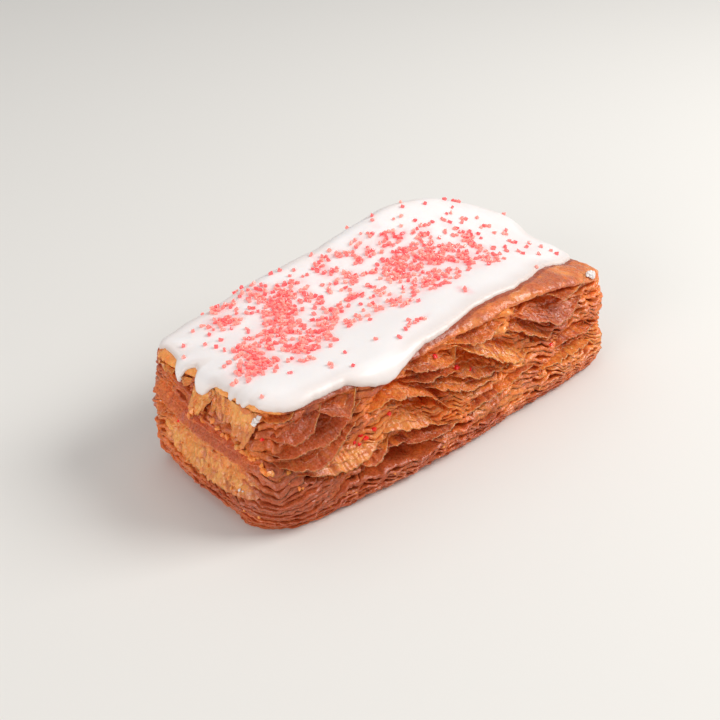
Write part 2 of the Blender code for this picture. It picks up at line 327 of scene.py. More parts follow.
    def skin(self, distance: Array, path: Array, lift: Array | float = 0.0) -> Array:
        """Points lifted off the smooth outside, on the top, round the rim or down the side.

        Args:
            distance: distance round the rim.
            path: path from the rim.
            lift: height off the smooth outside.

        Returns:
            Points in millimetres, in the frame's place.
        """
        distance, path, lift = np.broadcast_arrays(distance, path, lift)
        turn = np.clip((path + self.quarter_turn) / self.rim_radius, 0, np.pi / 2)
        inner = self.inner_rim(distance)
        share = np.clip((-self.quarter_turn - path) / self.way_in(distance), 0, 1)
        plan = self.towards_middle(inner, share)
        down = np.maximum(0, path - self.quarter_turn)
        drop = self.top_height(inner) - self.rim_radius
        spread = self.base_spread(distance) * np.clip(down / drop, 0, 1)
        out = (self.rim_radius + lift) * np.sin(turn) + spread
        z = self.top_height(plan) - self.rim_radius + (self.rim_radius + lift) * np.cos(turn) - down
        across = self.placed(plan + self.rim_normal(distance) * out[..., None])
        return np.concatenate([across, z[..., None]], axis=-1)

    def side(self, distance: Array, height: Array, out: Array | float = 0.0) -> Array:
        """Points on the side, at a height and a distance out of the smooth outside.

        Args:
            distance: distance round the rim.
            height: height over the floor.
            out: distance out of the smooth outside.

        Returns:
            Points in millimetres, in the frame's place.
        """
        distance, height, out = np.broadcast_arrays(distance, height, out)
        inner = self.inner_rim(distance)
        drop = self.top_height(inner) - self.rim_radius
        tuck = self.base_tuck * np.clip(1 - height / self.base_rounding, 0, 1) ** 2
        past = np.mod(distance, self.perimeter) - self.perimeter - self.far_left_place
        far_left = self.far_left_tuck * np.exp(-(past / self.far_left_reach) ** 2)
        lean = np.clip(1 - height / self.far_left_height, self.far_left_lean, 1)
        tuck = tuck + far_left * lean * smooth_step(*self.far_left_fade, height)
        spread = self.base_spread(distance) * np.clip(1 - height / drop, 0, 1)
        plan = inner + self.rim_normal(distance) * (self.rim_radius + spread - tuck + out)[..., None]
        return np.concatenate([self.placed(plan), height[..., None]], axis=-1)


def from_srgb(red: int, green: int, blue: int) -> Colour:
    """A colour as it is seen, turned into the linear values that a shader takes.

    Args:
        red: its red, 0 to 255.
        green: its green.
        blue: its blue.

    Returns:
        The linear colour.
    """
    seen = np.array([red, green, blue]) / 255
    linear = np.where(seen <= 0.04045, seen / 12.92, ((seen + 0.055) / 1.055) ** 2.4)
    return (*(float(value) for value in linear), 1.0)


class TreeSheet:
    """A node tree with short calls to add and join nodes."""

    prefix = ""

    def __init__(self, tree: bpy.types.NodeTree) -> None:
        """Takes the tree that the nodes go into."""
        self.tree = tree

    def add(self, kind: str, settings: dict | None = None, **inputs: object) -> bpy.types.Node:
        """Adds a node.

        Args:
            kind: the node's type, without the sheet's prefix.
            settings: its properties.
            inputs: its inputs by name, as values or as sockets to join.

        Returns:
            The node.
        """
        node = self.tree.nodes.new(self.prefix + kind)
        for key, value in (settings or {}).items():
            setattr(node, key, value)
        for key, value in inputs.items():
            self.put(node.inputs[key.replace("_", " ")], value)
        return node

    def put(self, socket: Socket, value: object) -> None:
        """Joins a socket to an input, or sets the input's value.

        Args:
            socket: the input.
            value: a socket to join to it, or its value.
        """
        if isinstance(value, Socket):
            self.tree.links.new(value, socket)
        else:
            socket.default_value = value

    def fed(self, kind: str, settings: dict | None, *values: object) -> Socket:
        """Adds a node, fills its inputs in their order and gives its first output.

        Args:
            kind: the node's type, without the sheet's prefix.
            settings: its properties.
            values: its inputs from the first on, as values or as sockets to join.

        Returns:
            The output.
        """
        node = self.add(kind, settings)
        for socket, value in zip(node.inputs, values):
            self.put(socket, value)
        return node.outputs[0]


class NodeSheet(TreeSheet):
    """A material's node tree."""

    prefix = "ShaderNode"

    def __init__(self, name: str) -> None:
        """Makes a material with an empty tree.

        Args:
            name: the material's name.
        """
        self.material = bpy.data.materials.new(name)
        self.material.use_nodes = True
        super().__init__(self.material.node_tree)
        self.tree.nodes.clear()

    def maths(self, operation: str, first: object, second: object = 0.0) -> Socket:
        """The result of one sum on two values."""
        return self.fed("Math", {"operation": operation}, first, second)

    def span(self, value: object, low: float, high: float, to_low: float = 0.0,
             to_high: float = 1.0) -> Socket:
        """A value moved from one range to another, and held inside it."""
        return self.fed("MapRange", {"interpolation_type": "SMOOTHSTEP"}, value, low, high, to_low, to_high)

    def blend(self, share: object, first: object, second: object, how: str = "MIX") -> Socket:
        """Two colours blended by a share.

        Args:
            share: the second colour's share.
            first: the first colour.
            second: the second colour.
            how: the way of blending.

        Returns:
            The blend.
        """
        node = self.add("Mix", {"data_type": "RGBA", "blend_type": how})
        for place, value in ((0, share), (6, first), (7, second)):
            self.put(node.inputs[place], value)
        return node.outputs[2]

    def attribute(self, name: str, output: str = "Fac") -> Socket:
        """A value that the mesh carries at its points."""
        return self.add("Attribute", {"attribute_name": name}).outputs[output]

    def here(self) -> Socket:
        """The point's place on the object."""
        return self.add("TexCoord").outputs["Object"]

    def noise(self, vector: object, scale: float, detail: float = 3.0, rough: float = 0.55) -> Socket:
        """Fractal noise over a vector, 0 to 1."""
        node = self.add("TexNoise", None, Vector=vector, Scale=scale, Detail=detail, Roughness=rough)
        return node.outputs["Fac"]

    def stretched(self, vector: object, scale: Triple) -> Socket:
        """A vector scaled along each axis."""
        return self.add("Mapping", None, Vector=vector, Scale=scale).outputs[0]

    def bump(self, height: object, depth: float, strength: float, normal: object = None) -> Socket:
        """A normal bent by a height.

        Args:
            height: the height, 0 to 1.
            depth: how deep the whole range is, in metres.
            strength: how much of it shows.
            normal: a normal that is already bent.

        Returns:
            The new normal.
        """
        node = self.add("Bump", None, Height=height, Distance=depth, Strength=strength)
        if normal is not None:
            self.put(node.inputs["Normal"], normal)
        return node.outputs[0]

    def finish(self, **inputs: object) -> Material:
        """Adds the shader and joins it to the output.

        Args:
            inputs: the shader's inputs by name.

        Returns:
            The material.
        """
        shader = self.add("BsdfPrincipled", None, **inputs)
        self.add("OutputMaterial", None, Surface=shader.outputs[0])
        return self.material


@dataclass(frozen=True)
class DoughFinish:
    """Fried laminated dough: red-brown crisp rims, golden faces, and painted dark orange shade in its
    hollows.
    """

    name: str = "fried_dough"
    rim: Colour = from_srgb(192, 93, 54)
    face: Colour = from_srgb(250, 136, 50)
    golden: Colour = from_srgb(255, 168, 88)
    # Partly the paler torn crumb along the lips, partly a painted highlight where the thin lips catch the
    # light.
    torn: Colour = from_srgb(228, 146, 96)
    # Painted shade: the saturated dark orange that grooves, the dough behind leaves and the roots and backs
    # of leaves take in place of their shade and the warm light in it.
    hollow: Colour = from_srgb(226, 94, 18)
    foot: Colour = from_srgb(194, 98, 56)
    burnt: Colour = from_srgb(144, 60, 34)
    shaded: Colour = (0.87, 0.79, 0.7, 1.0)
    lit: Colour = (1.1, 1.13, 1.16, 1.0)
    roughness: float = 0.31
    uneven: float = 0.12
    bleed: float = 0.35

    def material(self) -> Material:
        """Builds the material.

        Returns:
            The material. It reads the attributes grain, crisp, hollow, golden, lip and foot.
        """
        sheet = NodeSheet(self.name)
        here, grain = sheet.here(), sheet.attribute("grain", "Vector")
        crisp, gold = sheet.attribute("crisp"), sheet.attribute("golden")
        smooth_share = sheet.span(gold, 0.1, 0.7, 1.0, 0.25)
        fine_layers = sheet.noise(sheet.stretched(grain, (220.0, 220.0, 1500.0)), 1.0)
        streaks = sheet.noise(sheet.stretched(grain, (260.0, 260.0, 900.0)), 1.0, 1.5, 0.5)
        patches, specks = sheet.noise(here, 95.0, 4.0), sheet.noise(here, 1500.0, 3.0, 0.65)
        shade = sheet.blend(sheet.span(specks, 0.3, 0.7), self.shaded, self.lit)
        toast = self.toasted(sheet, crisp, patches, fine_layers, smooth_share)
        gold_share = sheet.maths("MULTIPLY", gold, sheet.span(streaks, 0.32, 0.6, 0.25))
        toast = sheet.blend(gold_share, toast, self.golden)
        # The lips take the torn colour: partly pale torn crumb, partly a painted highlight along the thin
        # edges.
        lip = sheet.maths("MULTIPLY", sheet.attribute("lip"), sheet.span(patches, 0.35, 0.65, 0.15, 0.75))
        toast = sheet.blend(lip, toast, self.torn)
        # Painted shade: the deeper a place lies in a groove or under a leaf, the more it turns dark orange.
        hollow = sheet.span(sheet.attribute("hollow"), 0.05, 0.75, 0.0, 0.85)
        toast = sheet.blend(hollow, toast, self.hollow)
        toast = sheet.blend(sheet.maths("MULTIPLY", sheet.attribute("foot"), 0.65), toast, self.foot)
        colour = sheet.blend(smooth_share, toast, sheet.blend(1.0, toast, shade, "MULTIPLY"))
        normal = None
        for relief, share, depth, strength in (
            (fine_layers, smooth_share, 0.00045, 0.9), (streaks, gold, 0.0006, 0.9),
            (sheet.noise(here, 420.0), smooth_share, 0.0007, 0.9),
            (sheet.noise(here, 1700.0, 3.0, 0.6), smooth_share, 0.00016, 0.8),
        ):
            normal = sheet.bump(sheet.maths("MULTIPLY", relief, share), depth, strength, normal)
        rough = sheet.span(specks, 0.2, 0.8, self.roughness - self.uneven, self.roughness + self.uneven)
        return sheet.finish(
            Base_Color=colour, Normal=normal, Roughness=rough, Subsurface_Weight=self.bleed,
            Subsurface_Radius=(1.0, 0.3, 0.1), Subsurface_Scale=0.0015, Specular_IOR_Level=0.45,
            Coat_Weight=0.24, Coat_Roughness=0.22,
        )

    def toasted(self, sheet: NodeSheet, crisp: object, patches: object, fine_layers: object,
                smooth_share: object) -> Socket:
        """The dough's colour from its light faces to its burnt rims.

        Args:
            sheet: the material's sheet.
            crisp: how crisp it is.
            patches: noise for the uneven browning.
            fine_layers: noise for the thin layers.
            smooth_share: how much of the layers shows.

        Returns:
            The colour.
        """
        browned = sheet.maths("MULTIPLY", crisp, 0.5)
        browned = sheet.maths("ADD", browned, sheet.span(patches, 0.38, 0.62, 0.0, 0.6))
        toast = sheet.blend(sheet.maths("MINIMUM", browned, 1.0), self.face, self.rim)
        toast = sheet.blend(sheet.span(fine_layers, 0.55, 0.72, 0.0, 0.6), toast, self.face)
        # Crisp above 0.9 turns burnt: the dough's own browning, and also the painted shade of narrow grooves,
        # wrinkle troughs and seams and the painted shadow line under the icing, which are added to crisp.
        toast = sheet.blend(sheet.span(crisp, 0.9, 1.9, 0.0, 0.7), toast, self.burnt)
        dark = sheet.maths("MULTIPLY", sheet.span(fine_layers, 0.45, 0.3, 0.0, 0.5), smooth_share)
        return sheet.blend(dark, toast, self.burnt)


@dataclass(frozen=True)
class IcingFinish:
    """Set white icing, smooth and glossy, stained pink and tinted by painted pink light bounced from the
    sugar where the sugar lies thick.
    """

    name: str = "white_icing"
    white: Colour = from_srgb(248, 243, 242)
    # Partly a pink stain from the sugar, partly painted pink light bounced from it.
    stain: Colour = from_srgb(255, 190, 192)
    # Partly the dough showing through thin icing, partly painted shade where the icing turns down over the
    # edge.
    thin: Colour = from_srgb(224, 209, 202)
    roughness: float = 0.37

    def material(self) -> Material:
        """Builds the material.

        Returns:
            The material. It reads the attributes stain and thin.
        """
        sheet = NodeSheet(self.name)
        here = sheet.here()
        cloud = sheet.span(sheet.noise(here, 260.0), 0.35, 0.65, 0.35)
        # Partly pink stain, partly painted pink light bounced from the sugar, strongest where the sugar lies
        # thick.
        stain = sheet.maths("MULTIPLY", sheet.attribute("stain"), cloud)
        colour = sheet.blend(stain, self.white, self.stain)
        return sheet.finish(
            # Greyer towards the edge: partly dough showing through thin icing, partly painted shade.
            Base_Color=sheet.blend(sheet.attribute("thin"), colour, self.thin),
            Normal=sheet.bump(sheet.noise(here, 160.0, 2.0), 0.0003, 0.25), Roughness=self.roughness,
            Subsurface_Weight=0.25, Subsurface_Radius=(1.0, 0.9, 0.8), Subsurface_Scale=0.0012,
            Specular_IOR_Level=0.5,
        )


@dataclass(frozen=True)
class SugarFinish:
    """Coarse pink sugar: clear blocks with a milky heart, no two quite alike."""

    name: str = "pink_sugar"
    pale: Colour = from_srgb(255, 178, 164)
    deep: Colour = from_srgb(250, 96, 102)
    glow: Colour = from_srgb(255, 112, 108)
    roughness: float = 0.16

    def material(self) -> Material:
        """Builds the material.

        Returns:
            The material. It reads the attribute tint, one value for each crystal.
        """
        sheet = NodeSheet(self.name)
        return sheet.finish(
            Base_Color=sheet.blend(sheet.attribute("tint"), self.pale, self.deep),
            Normal=sheet.bump(sheet.noise(sheet.here(), 1500.0, 2.0), 0.0001, 0.5),
            Roughness=self.roughness, Subsurface_Weight=0.6, Subsurface_Radius=(1.0, 0.5, 0.5),
            Subsurface_Scale=0.001, Emission_Color=self.glow, Emission_Strength=0.2, IOR=1.5,
        )


@dataclass(frozen=True)
class FloorFinish:
    """A plain pale floor."""

    name: str = "pale_floor"
    colour: Colour = from_srgb(232, 230, 226)

    def material(self) -> Material:
        """Builds the material."""
        return NodeSheet(self.name).finish(Base_Color=self.colour, Roughness=0.8)


@dataclass
class MeshPiece:
    """A mesh under construction: points in millimetres, faces and values at the points."""

    name: str
    points: Array
    quads: Array
    caps: list[Array] = field(default_factory=list)
    values: Values = field(default_factory=dict)

    def to_object(self, material: Material) -> SceneObject:
        """Writes the mesh in metres as an object at the origin.

        Args:
            material: its finish.

        Returns:
            The object.
        """
        mesh = bpy.data.meshes.new(self.name)
        loops = np.concatenate([self.quads.ravel(), *[cap.ravel() for cap in self.caps]])
        sizes = np.array([4] * len(self.quads) + [len(cap) for cap in self.caps], np.int32)
        starts = np.concatenate([[0], np.cumsum(sizes)[:-1]]).astype(np.int32)
        mesh.vertices.add(len(self.points))
        mesh.vertices.foreach_set("co", (self.points * MM).astype(np.float32).ravel())
        mesh.loops.add(len(loops))
        mesh.loops.foreach_set("vertex_index", loops.astype(np.int32))
        mesh.polygons.add(len(sizes))
        mesh.polygons.foreach_set("loop_start", starts)
        mesh.polygons.foreach_set("use_smooth", np.full(len(sizes), True))
        mesh.update(calc_edges=True)
        for name, value in self.values.items():
            kind, key = ("FLOAT_VECTOR", "vector") if value.ndim == 2 else ("FLOAT", "value")
            layer = mesh.attributes.new(name, kind, "POINT")
            layer.data.foreach_set(key, value.astype(np.float32).ravel())
        mesh.materials.append(material)
        return placed_object(self.name, mesh)


def ring_piece(name: str, rings: Array, values: Values, fold: int | None = None) -> MeshPiece:
    """Joins rings of points into one closed piece, shut at both ends.

    Args:
        name: the piece's name.
        rings: points by ring and column, in order from the bottom ring up.
        values: values by ring and column.
        fold: the column where the last ring folds flat, which shuts it across its middle line.

    Returns:
        The piece, with its faces outwards.
    """
    count, around = rings.shape[:2]
    index = np.arange(count * around).reshape(count, around)
    low, high = index[:-1], index[1:]
    after_low, after_high = np.roll(low, -1, axis=1), np.roll(high, -1, axis=1)
    quads = np.stack([low, after_low, after_high, high], axis=-1).reshape(-1, 4)
    flat = {key: value.reshape(count * around, *value.shape[2:]) for key, value in values.items()}
    if fold is None:
        return MeshPiece(name, rings.reshape(-1, 3), quads, [index[0][::-1], index[-1]], flat)
    one = np.roll(index[-1], -fold)[: around // 2]
    other = np.roll(index[-1], -fold)[::-1][: around // 2]
    lid = np.stack([one[:-1], one[1:], other[1:], other[:-1]], axis=-1)
    return MeshPiece(name, rings.reshape(-1, 3), np.concatenate([quads, lid]), [index[0][::-1]], flat)


def joined(name: str, parts: list[MeshPiece]) -> MeshPiece:
    """Several closed meshes as one piece, each with its faces outwards.

    Args:
        name: the piece's name.
        parts: the meshes, with the same values.

    Returns:
        The piece.
    """
    points, quads, caps, start = [], [], [], 0
    for part in parts:
        first, second, third, fourth = (part.points[part.quads[:, k]] for k in range(4))
        middle = part.points.mean(axis=0)
        facing = np.cross(third - first, fourth - second)
        turned = np.sum(facing * ((first + third) / 2 - middle)) < 0
        step = -1 if turned else 1
        points.append(part.points)
        quads.append(part.quads[:, ::step] + start)
        caps += [cap[::step] + start for cap in part.caps]
        start += len(part.points)
    values = {key: np.concatenate([part.values[key] for part in parts]) for key in parts[0].values}
    return MeshPiece(name, np.concatenate(points), np.concatenate(quads), caps, values)


@dataclass(frozen=True)
class Pocket:
    """A place where the dough tore open between two layers. The lowest groove is 1."""

    distance: float
    groove: int
    half_width: float
    opening: float
    depth: float


@dataclass(frozen=True)
class Band:
    """A stretch where one layer stays thick and whole. The lowest layer is 0."""

    distance: float
    layer: int
    half_width: float
    thickness: float


class LeafKind(Enum):
    """How a thin sheet sits on the side."""

    HANGING = "a sheet that hangs over what is under it, with its ends closed"
    UPRIGHT = "a plate that stands flat on the side, with upright ends"


@dataclass(frozen=True)
class Leaf:
    """A thin sheet of dough that peeled off the side and hangs over what is under it.

    Attributes:
        lip: its lower edge from left to right, as (distance round the rim, height).
        tall: how far above the lip it leaves the side, at its middle.
        out: how far its lip stands out of the smooth outside, at its middle.
        golden: how golden it is.
        ragged: how torn its lip is, in millimetres.
        thick: its thickness.
        dent: how far the dough behind it stands back.
        crisp: how brown and crisp it is towards its lip.
        root: how deep inside the side its upper edge lies.
        pinch: how soon it closes at its ends, small for a plate with upright ends.
        flare: how late it turns out towards its lip.
        coarse: how coarse its crumb is, in millimetres.
        wrinkle: how deep its wrinkles are, in millimetres.
        slant: how far its wrinkles lean to the right as they go down.
        fibre: how short its wrinkles are for their width.
        kind: how it sits on the side.
    """

    lip: Table
    tall: float
    out: float
    golden: float = 0.2
    ragged: float = 0.5
    thick: float = 0.5
    dent: float = 3.0
    crisp: float = 0.8
    root: float = 5.0
    pinch: float = 0.8
    flare: float = 1.8
    coarse: float = 0.0
    wrinkle: float = 0.5
    slant: float = 0.3
    fibre: float = 0.3
    kind: LeafKind = LeafKind.HANGING

    @property
    def hanging(self) -> bool:
        """Whether it hangs over what is under it."""
        return self.kind is LeafKind.HANGING

    def share(self, distance: Array) -> Array:
        """Share of the way along the leaf, 0 and 1 at its ends."""
        first, last = self.lip[0][0], self.lip[-1][0]
        return (distance - first) / (last - first)

    def swell(self, distance: Array) -> Array:
        """How open the leaf is, 0 at its ends and 1 in the middle."""
        share = np.clip(self.share(distance), 0, 1)
        return np.sin(np.pi * share) ** self.pinch

    def lip_height(self, distance: Array) -> Array:
        """Height of the lip."""
        named = np.array(self.lip)
        return np.interp(distance, named[:, 0], named[:, 1])


# Each row gives a leaf's fields in their order, and those that it leaves out keep their usual value.
NEAR_LEAVES = tuple(Leaf(*row) for row in (
    (((1, 16.4), (5, 15.4), (8, 14.3), (12, 13.2), (16, 12.7), (20, 12.2), (23, 12.8), (26, 13.8),
     (29, 15.2), (31, 17.4)), 7.5, 0.8, 0.72, 0.5),
    (((20, 11.5), (23, 10.8), (25, 10.3), (27, 10.1), (28.5, 11.2), (30, 12.2), (31.5, 13.5)), 3.5, 1.2,
     0.15, 0.5),
    (((-1, 19), (3, 18), (6, 17.3), (8, 17), (11, 17.3), (13, 18.6), (15, 20), (18, 21.6), (21, 23),
     (23.5, 24.5)), 3.6, 1.3, 0.35, 0.5),
    (((-2, 21), (2, 20.8), (6, 21.4), (10, 21.9), (13, 22), (15, 23), (17, 24.4), (20, 26), (23, 28.2),
     (25.5, 31)), 3.4, 1.6, 0.1, 0.4),
    (((-1, 25), (2, 24.5), (5, 24), (8, 25.4), (10, 27.3), (12, 29.2), (13.5, 31.5)), 5, 1.2, 0, 0.5),
    (((10.5, 30.4), (12, 29.2), (14, 28), (16, 27), (18, 26.4), (20, 28.4), (22, 31.2), (23, 33)), 5.5, 1.9,
     0.2, 0.3),
    (((-3, 30), (0, 30.2), (3, 30.4), (4.5, 31.2), (6, 32.5)), 3, 1, 0.3, 0.4),
    (((23, 25), (26, 24), (28, 24.5), (30, 25.2), (34, 25.2), (38, 24.4), (42, 22.8), (45, 20.5), (48, 17.3),
     (50, 15.5), (53, 14), (55, 12.6)), 3.6, 1.8, 0.3, 0.4, 0.5, 4),
    (((27, 17), (30, 16), (33, 15.6), (37, 15.2), (41, 14), (45, 12.3), (48, 10.8), (51, 10)), 7, 0.2, 0.6,
     0.4, 0.5, 3),
    (((27, 12.5), (30, 12.1), (33, 12), (36, 11.6), (40, 10.2), (44, 9.2), (48, 8.8), (52, 9.2), (55, 10)),
     3, 1.1, 0.2, 0.5, 0.5, 3.5),
    (((36, 30.5), (40, 29.2), (44, 28.6), (48, 27.5), (51, 26.7), (54, 26.4), (54.8, 28), (55.5, 30)), 6,
     1.6, 0.35, 0.4),
    (((37, 27), (42, 26), (46, 25.3), (50, 24.5), (54, 23.2), (58, 21.5)), 2.2, 0.9, 0.3, 0.4),
    (((43, 23.5), (48, 21), (52, 19.4), (56, 18.1), (60, 17.2), (64, 16.8), (68, 16.6)), 5, 0.9, 0.4, 0.4),
    (((49, 33), (54, 30.4), (58, 28), (60, 27), (62, 25.4), (66, 22.9), (70, 20.5), (73, 19.2), (76, 18.6),
     (80, 18.2), (84, 18)), 7, 1.9, 0.85, 0.5, 0.5, 4),
    (((52, 22.5), (56, 21), (60, 20), (64, 19), (68, 18), (72, 17.4)), 6, 0.1, 0.35, 0.4, 0.5, 3),
    (((71, 28.5), (74, 27), (76, 26.4), (78, 25.8), (80, 23.8), (84, 22), (88, 20.2), (91, 19.3), (94, 19)),
     5, 1.6, 0.5, 0.4),
    (((76, 30), (80, 28), (84, 26), (88, 24.5), (90, 23.5), (93, 22.5), (96, 22), (100, 22.4), (104, 23),
     (108, 24)), 7, 1.5, 0.1, 0.3),
    (((82, 34), (85, 33), (88, 32.2), (91, 30.7), (94, 29), (96, 28.6), (100, 28.9), (103, 28.6),
     (106, 28.8), (109, 29.5)), 1.8, 1.3, 0.2, 0.3, 0.4, 4.5),
    (((50, 32), (54, 31), (58, 30), (62, 29.5), (66, 29.8), (70, 30.6), (73, 31.5)), 4.5, 0.8, 0, 0.4),
    (((91, 14.4), (95, 15), (98, 15.5), (100.5, 16), (103, 15.3), (106, 14.3), (110, 13.6), (114, 13)), 3,
     0.9, 0.3, 0.3, 0.5, 3.2),
    (((84, 10.5), (90, 10.4), (96, 10.6), (102, 10.2), (108, 9.6), (114, 8.6)), 2.2, 0.6, 0.6, 0.4),
    (((54, 9.6), (58, 10.4), (64, 11.6), (70, 12.4), (78, 13), (86, 13)), 2.4, 0.6, 0.3, 0.4),
))
LEFT_PLATE = Leaf(
    lip=((0, 0),), tall=8.0, out=1.0, golden=1.0, ragged=0.9, thick=0.4, dent=1.4, crisp=0.0, root=0.5,
    pinch=0.12, flare=0.7, coarse=0.0, wrinkle=0.5, slant=0.4, fibre=0.2, kind=LeafKind.UPRIGHT)
LEFT_LEAVES = (
    replace(LEFT_PLATE, lip=(
        (-20.5, 27.5), (-19, 25.4), (-17.5, 26.6), (-16.3, 24.6), (-15.4, 24.1), (-14, 25.2), (-12, 26.2),
        (-10.7, 26), (-10.3, 23.4), (-8.6, 22.6), (-7, 22.3), (-5.6, 23.2), (-4.9, 25), (-3.9, 27),
        (-3.4, 30.5))),
    replace(LEFT_PLATE, ragged=1.3, tall=7.0, out=1.2, coarse=0.5, lip=(
        (-27, 25.6), (-26.2, 22.8), (-24.4, 22.2), (-22.6, 23.6), (-20.6, 25.4), (-19, 28), (-18.4, 30))),
    replace(LEFT_PLATE, golden=0.8, tall=5.0, coarse=0.2, lip=(
        (-41, 30), (-39.5, 28.6), (-37.6, 29), (-36.4, 28.2), (-35, 28), (-33.8, 29), (-33.2, 30.4))),
    replace(LEFT_PLATE, golden=0.5, tall=4.0, coarse=0.2, lip=(
        (-31.6, 29.6), (-30.4, 28.6), (-28.8, 28.2), (-27.4, 28.8))),
    replace(LEFT_PLATE, golden=0.0, ragged=0.2, tall=3.6, out=1.5, thick=1.2, dent=2.0, crisp=0.1,
            wrinkle=0.12, coarse=0.0, root=2.4, pinch=0.3, flare=0.5, lip=(
                (-44, 21.8), (-38, 19.8), (-33, 18.4), (-28, 17.5), (-22, 17), (-16, 16.7), (-10, 16.6),
                (-5, 16.4), (-1, 16.8))),
    replace(LEFT_PLATE, golden=0.15, ragged=0.3, tall=3.0, out=1.3, dent=2.6, crisp=0.8, root=3.0,
            pinch=0.7, flare=1.5, kind=LeafKind.HANGING, lip=(
                (-42, 17), (-40, 15), (-38, 16), (-36, 17.4), (-34, 17), (-32, 15.6))),
    replace(LEFT_PLATE, golden=0.95, tall=8.2, out=0.8, ragged=0.7, dent=1.6, coarse=0.12, root=1.6,
            wrinkle=0.8, pinch=0.35, slant=0.5, fibre=0.38, lip=(
                (-40, 10.4), (-36, 8.8), (-28, 7.8), (-20, 7.4), (-12, 7.8), (-7, 8.4), (-2, 10))),
)


@dataclass(frozen=True)
class SidePatch:
    """A round patch of the sides, which may fall a little for each millimetre to the right."""

    distance: float
    height: float
    half_length: float
    half_height: float
    fall: float = 0.0

    def share(self, along: Array, height: Array) -> Array:
        """How far inside the patch a place is, 1 at its middle.

        Args:
            along: distance round the rim past the patch's middle.
            height: height over the floor.

        Returns:
            The share at each place.
        """
        rise = height - self.height + self.fall * along
        past = (along / self.half_length) ** 2 + (rise / self.half_height) ** 2
        return np.exp(-past ** 2)


@dataclass(frozen=True)
class Hollow(SidePatch):
    """A cavity between the torn sheets, as deep as depth says."""

    depth: float = 2.0


@dataclass(frozen=True)
class Tone(SidePatch):
    """A broad patch where the dough is more golden or more browned than elsewhere."""

    golden: float = 0.0
    browned: float = 0.0


